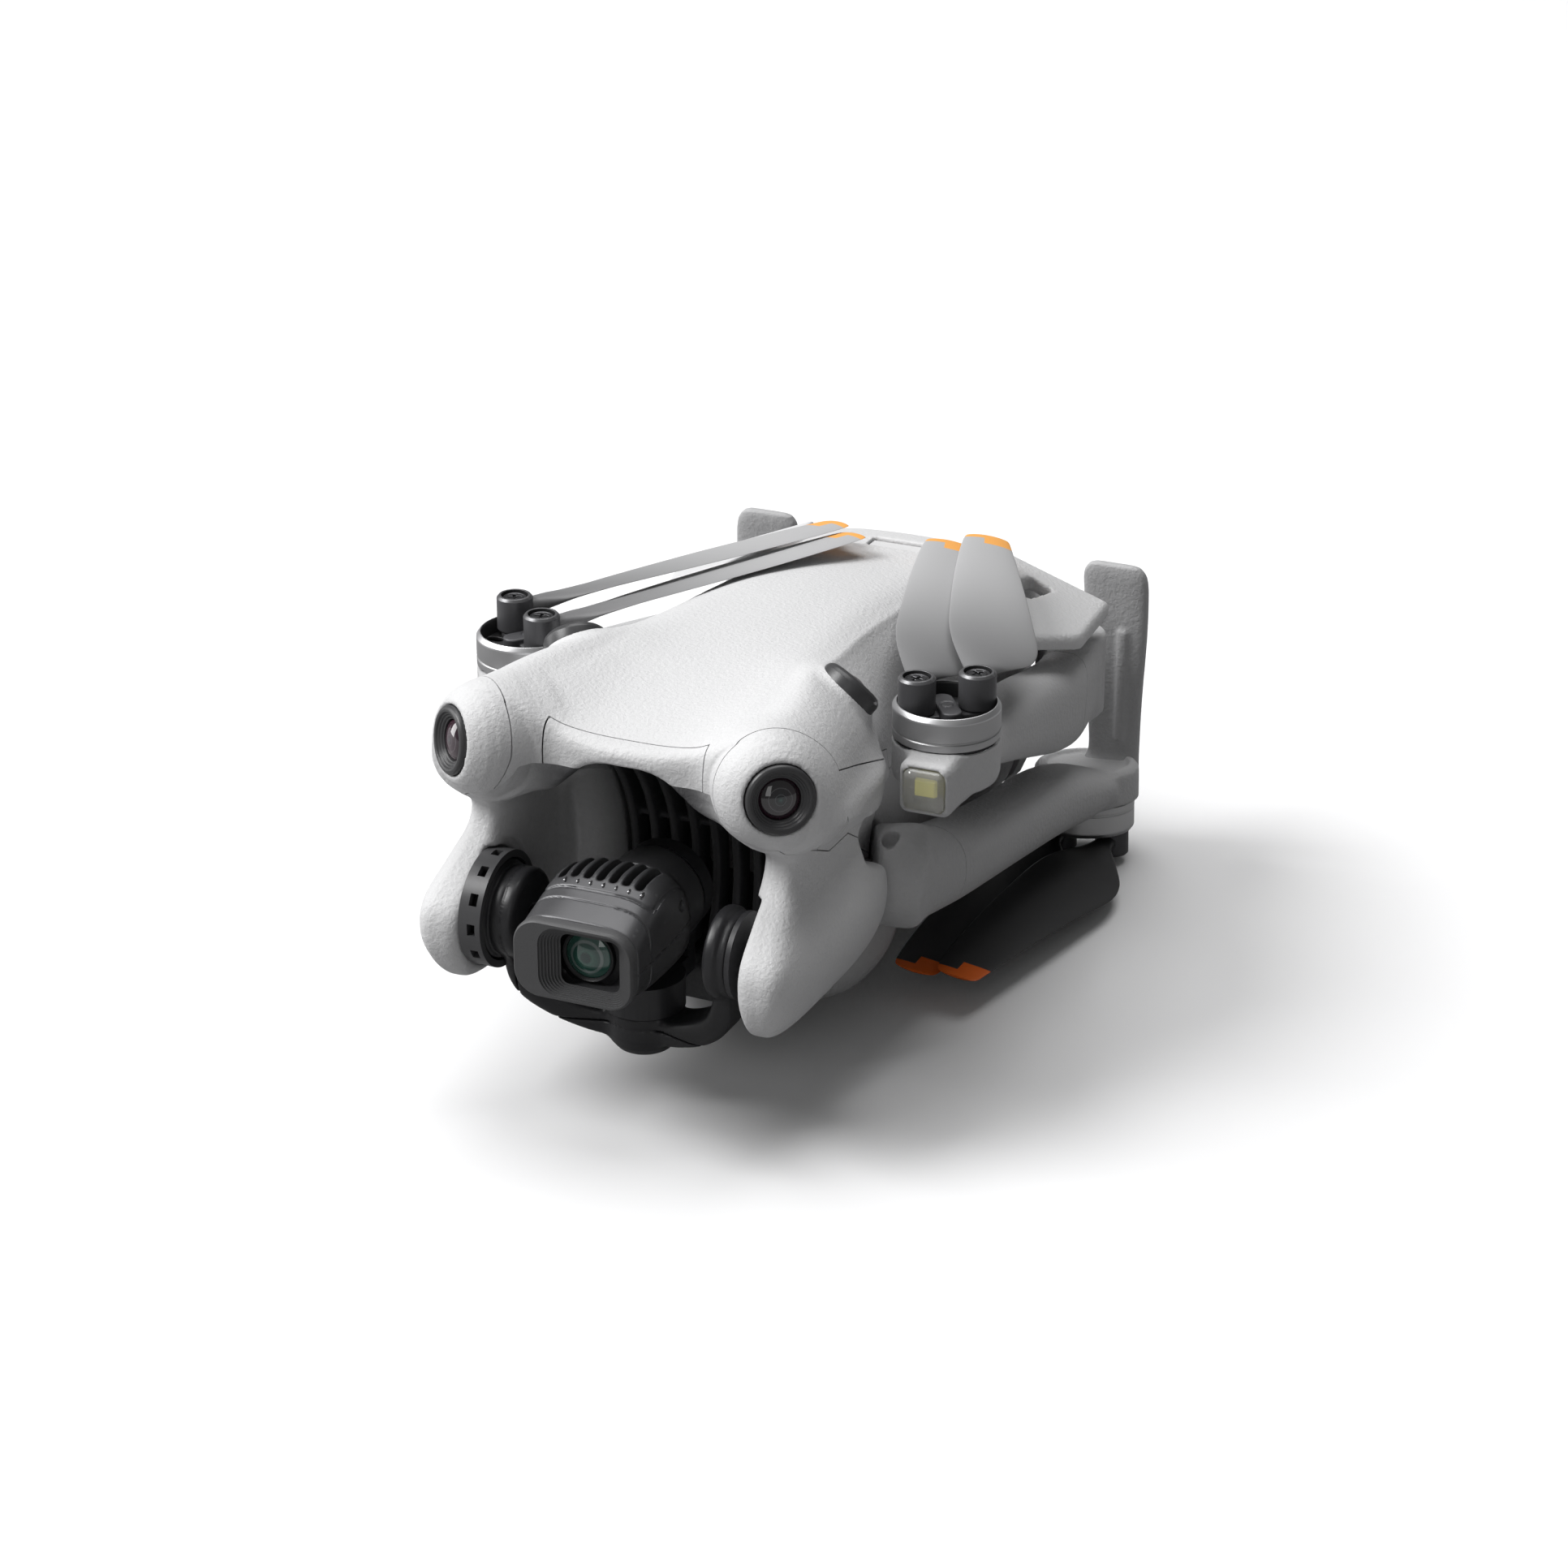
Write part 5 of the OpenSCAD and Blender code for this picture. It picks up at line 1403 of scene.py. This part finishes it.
def camera_housing(X, Y, Z):
    axis_r = radius(X - CAMERA_X, Z - CAMERA_Z)
    d = loft_y(X, Y, Z, HOUSING, None, 0.5)
    d = fuse(d, drum(axis_r, Y, 8.35, -57.6, -49.5, edge=1.0), 0.8)
    # line round the top panel, and its eight slots
    panel = meet(meet(np.abs(X + 1.1) - 9.7, Y + 58.0, 0.5), -71.6 - Y, 1.6)
    shallow = meet(42.0 - Z, -(d + 0.30), 0.03)
    d = carve(d, meet(np.abs(panel) - 0.14, shallow, 0.05), 0.06)
    k = np.clip(np.round((X + 1.33) / SLOT_PITCH), -4, 3) * SLOT_PITCH - 1.33
    slot = np.sqrt(np.maximum(np.abs(Y + 64.3) - 4.7, 0) ** 2 + (X - k) ** 2) - 0.68
    d = carve(d, meet(slot, 42.4 - Z, 0.1), 0.2)
    # seams: front frame, rear cap, sides
    seam = np.abs(Y + 73.6 + 0.02 * (Z - 35)) - 0.09
    d = carve(d, meet(seam, -(d + 0.28), 0.03), 0.05)
    d = carve(d, meet(np.abs(Y + 57.4) - 0.10, -(d + 0.30), 0.03), 0.05)
    seam = np.abs(Z - 35.6 - 0.10 * (Y + 66)) - 0.085
    d = carve(d, meet(meet(seam, -(d + 0.26), 0.03), Y + 57.4, 0.03), 0.05)
    # round dimple in each side
    dimple = radius(Y + 62.8, Z - 40.2) - 0.85
    d = carve(d, meet(dimple, -(d + 0.5), 0.05), 0.08)
    # front window
    return carve(d, box(X, Y, Z, (0.6, -78.5, 35), (6.8, 4.6, 5.0), 1.3), 0.25)


piece("camera_housing",
      net_of(camera_housing, (-12.6, -79.0, 24.5), (11.0, -48.6, 47.6), pick(0.22)),
      M["camera"], "camera", "camera_shell", "camera_body")


def vent_pins(X, Y, Z):
    """Row of seven short pins following the crown of the housing."""
    k = np.clip(np.round((X + 0.205) / SLOT_PITCH), -3, 3) * SLOT_PITCH - 0.205
    crown = 45.2 - 0.030 * (X + 1) ** 2 * 0.25
    return np.sqrt((X - k) ** 2 + np.maximum(np.abs(Y + 70.35) - 0.42, 0) ** 2
                   + (Z - crown) ** 2) - 0.24


piece("camera_vent_pins",
      net_of(vent_pins, (-8.2, -71.6, 44.2), (8.2, -69.1, 46.2), pick(0.1)),
      M["steel"], "camera", "camera_shell")


def rounded_rectangle(a, b, r, cx, cz, y, n=18):
    """Ring at y: half sizes a along x and b along z, n points to a corner."""
    P = []
    for qx, qz, start in ((1, 1, 0), (-1, 1, 90), (-1, -1, 180), (1, -1, 270)):
        for k in range(n):
            t = math.radians(start + 90 * k / (n - 1))
            P.append((cx + qx * (a - r) + r * math.cos(t), y,
                      cz + qz * (b - r) + r * math.sin(t)))
    return P


def hood_rings():
    """Outer wall, rounded lip and face, then steps set to one side, down to the window."""
    back_y, face_y, centre_z = -77.95, -80.08, 35.1
    # half x, half z, corner radius, y
    outer = [(10.40, 6.60, 4.3, back_y), (10.46, 6.66, 4.4, -78.25), (10.46, 6.66, 4.4, -79.45),
             (10.38, 6.58, 4.4, -79.85), (10.15, 6.36, 4.2, face_y)]
    out = [rounded_rectangle(a, b, r, -1.2, centre_z, y) for a, b, r, y in outer]
    a, b, r, y, cx = 7.95, 5.95, 3.4, face_y, 0.75
    for _ in range(7):
        out.append(rounded_rectangle(a, b, r, cx, centre_z, y))
        out.append(rounded_rectangle(a, b, r, cx, centre_z, y + 0.27))
        a, b, r, y, cx = a - 0.40, b - 0.225, max(r - 0.28, 1.5), y + 0.29, cx + 0.03
    out.append(rounded_rectangle(a, b, r, cx, centre_z, y))
    out.append(rounded_rectangle(a, b, r, cx, centre_z, back_y))
    out.append(out[0])
    return out


piece("camera_hood", rings(hood_rings(), caps=False), M["bezel"], "camera", "gimbal_black",
      "camera_bezel", sharp=35)

LENS_SEAT = (CAMERA_X, -73.6, CAMERA_Z), rotation(90, 0, 0)
# Turned profiles about the lens axis: r, z
BARREL = fillet([(0, -1.0), (5.9, -1.0), (5.9, 1.2), (4.6, 1.25), (4.55, 2.1), (4.35, 2.2),
                 (4.2, 2.0), (4.0, 1.9)], 0.05, 2) + [(3.9, 1.85), (3.9, 1.2), (0, 1.2)]
GLASS_EDGE, GLASS_TOP = 3.88, 2.95
GLASS = [(0, GLASS_TOP)] + [(r, GLASS_TOP - 0.075 * r * r) for r in (
    0.5, 1, 1.5, 2.0, 2.5, 3.0, 3.4, 3.7, GLASS_EDGE)] + [(GLASS_EDGE, 1.0), (0, 1.0)]

piece("camera_barrel", place(lathe(BARREL), *LENS_SEAT), M["dark"], "camera", "gimbal_black",
      sharp=40)
mesh = lathe(GLASS)
piece("camera_front_glass", place(mesh, *LENS_SEAT), M["camlens"], "camera", "coated_lens",
      "camera_lens", attrs={"lr": from_axis(mesh[0]) * CAMERA_RIM / GLASS_EDGE})

# ------------------------------------------------------------------ carried nodes
NODE_MATS = {
    "heat_sink": "steel", "fan_rotor": "black", "status_leds": "white", "belly_window": "ring",
    "belly_light": "white", "arm_pins": "steel", "shell_screws": "screw", "tilt_motor": "ring",
    "tilt_bearing": "black", "power_button": "button", "battery_pack": "battery",
    "charge_port": "dark", "latch_right": "button", "latch_left": "button",
    "pan_bracket": "black", "main_board": "board", "belly_lenses": "gloss"}
for name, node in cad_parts.items():
    mat = M[NODE_MATS.get(name, "ring" if name.startswith("stator") else "dark")]
    slots = node.data.materials
    if slots:
        for i in range(len(slots)):
            slots[i] = mat
    else:
        slots.append(mat)


# ------------------------------------------------------------------ stage, light and camera
def floor_paper():
    """Pale paper as the camera sees it, and a darker grey for the light it throws onto other
    things.
    """
    S = Shader("floor_paper")
    c = S.mix(S.mul(S.noise(30, detail=3), 0.3), grey(0.86, 0.865), grey(0.89, 0.89))
    seen = S.node("ShaderNodeLightPath").outputs["Is Camera Ray"]
    c = S.mix(seen, grey(0.24, 0.242), c)
    tooth = S.bump(S.noise(1200, detail=3, rough=0.6), 0.03, depth=0.0002)
    return S.finish(color=c, rough=0.8, normal=tooth, spec=0.2)


def floor():
    """Sweep in metres: flat, curved up behind the drone, then a wall."""
    bend = np.linspace(0.1, math.pi / 2, 12)
    y = np.concatenate([np.linspace(-2.2, 1.6, 12), 1.6 + 0.9 * np.sin(bend), np.full(6, 2.5)])
    z = np.concatenate([np.zeros(12), 0.9 - 0.9 * np.cos(bend), np.linspace(1.2, 3.2, 6)])
    V = [(x, a, b - 0.0004) for x in np.linspace(-3.5, 3.5, 9) for a, b in zip(y, z)]
    m = len(y)
    faces = [(i * m + j, (i + 1) * m + j, (i + 1) * m + j + 1, i * m + j + 1)
             for i in range(8) for j in range(m - 1)]
    me = bpy.data.meshes.new("floor")
    me.from_pydata(V, [], faces)
    for p in me.polygons:
        p.use_smooth = True
    me.materials.append(floor_paper())
    o = bpy.data.objects.new("floor", me)
    bpy.context.scene.collection.objects.link(o)


floor()
scene = bpy.context.scene


def light(name, kind, aim, energy, **settings):
    """Light shining along the vector aim."""
    data = bpy.data.lights.new(name, kind)
    data.energy = energy
    for k, v in settings.items():
        setattr(data, k, v)
    o = bpy.data.objects.new(name, data)
    scene.collection.objects.link(o)
    o.rotation_euler = aim.to_track_quat("-Z", "Y").to_euler()
    return o


def area(name, location, energy, size, size_y):
    target = Vector((0, 0, 0.035))
    o = light(name, "AREA", target - Vector(location), energy,
              shape="RECTANGLE", size=size, size_y=size_y)
    o.location = location


light("key_soft", "SUN", -Vector((-0.78, -0.46, 0.9)), energy=2.6, angle=math.radians(30))
light("top_soft", "SUN", -Vector((-0.12, 0.30, 1.0)), energy=1.8, angle=math.radians(50))
area("left_strip", (-0.9, -0.1, 0.35), energy=3.4, size=0.35, size_y=0.9)
area("front_low", (0.3, -1.1, 0.5), energy=0.7, size=0.35, size_y=0.7)

world = bpy.data.worlds.new("studio")
scene.world = world
world.use_nodes = True
background = world.node_tree.nodes["Background"]
background.inputs["Color"].default_value = (1, 1, 1, 1)
background.inputs["Strength"].default_value = 0.13
scene.view_settings.view_transform = "Standard"
scene.view_settings.look = "None"
scene.view_settings.exposure = 0.0


def add_camera(turn, dip, x, y, z):
    """Camera looking along +Y turned left by turn and down by dip, both in degrees."""
    a, e = math.radians(turn), math.radians(dip)
    right = Vector((math.cos(a), math.sin(a), 0))
    view = Vector((-math.sin(a) * math.cos(e), math.cos(a) * math.cos(e), -math.sin(e)))
    data = bpy.data.cameras.new("camera")
    data.sensor_width = 36
    data.lens = 92.3943135
    data.clip_start = 0.02
    data.clip_end = 20
    o = bpy.data.objects.new("camera", data)
    scene.collection.objects.link(o)
    matrix = Matrix((right, right.cross(view), -view)).transposed().to_4x4()
    matrix.translation = Vector((x, y + SEAT[1] * MM, z + SEAT[2] * MM))
    o.matrix_world = matrix
    scene.camera = o


add_camera(turn=24.0, dip=23.8, x=0.25896, y=-0.58273, z=0.31549)
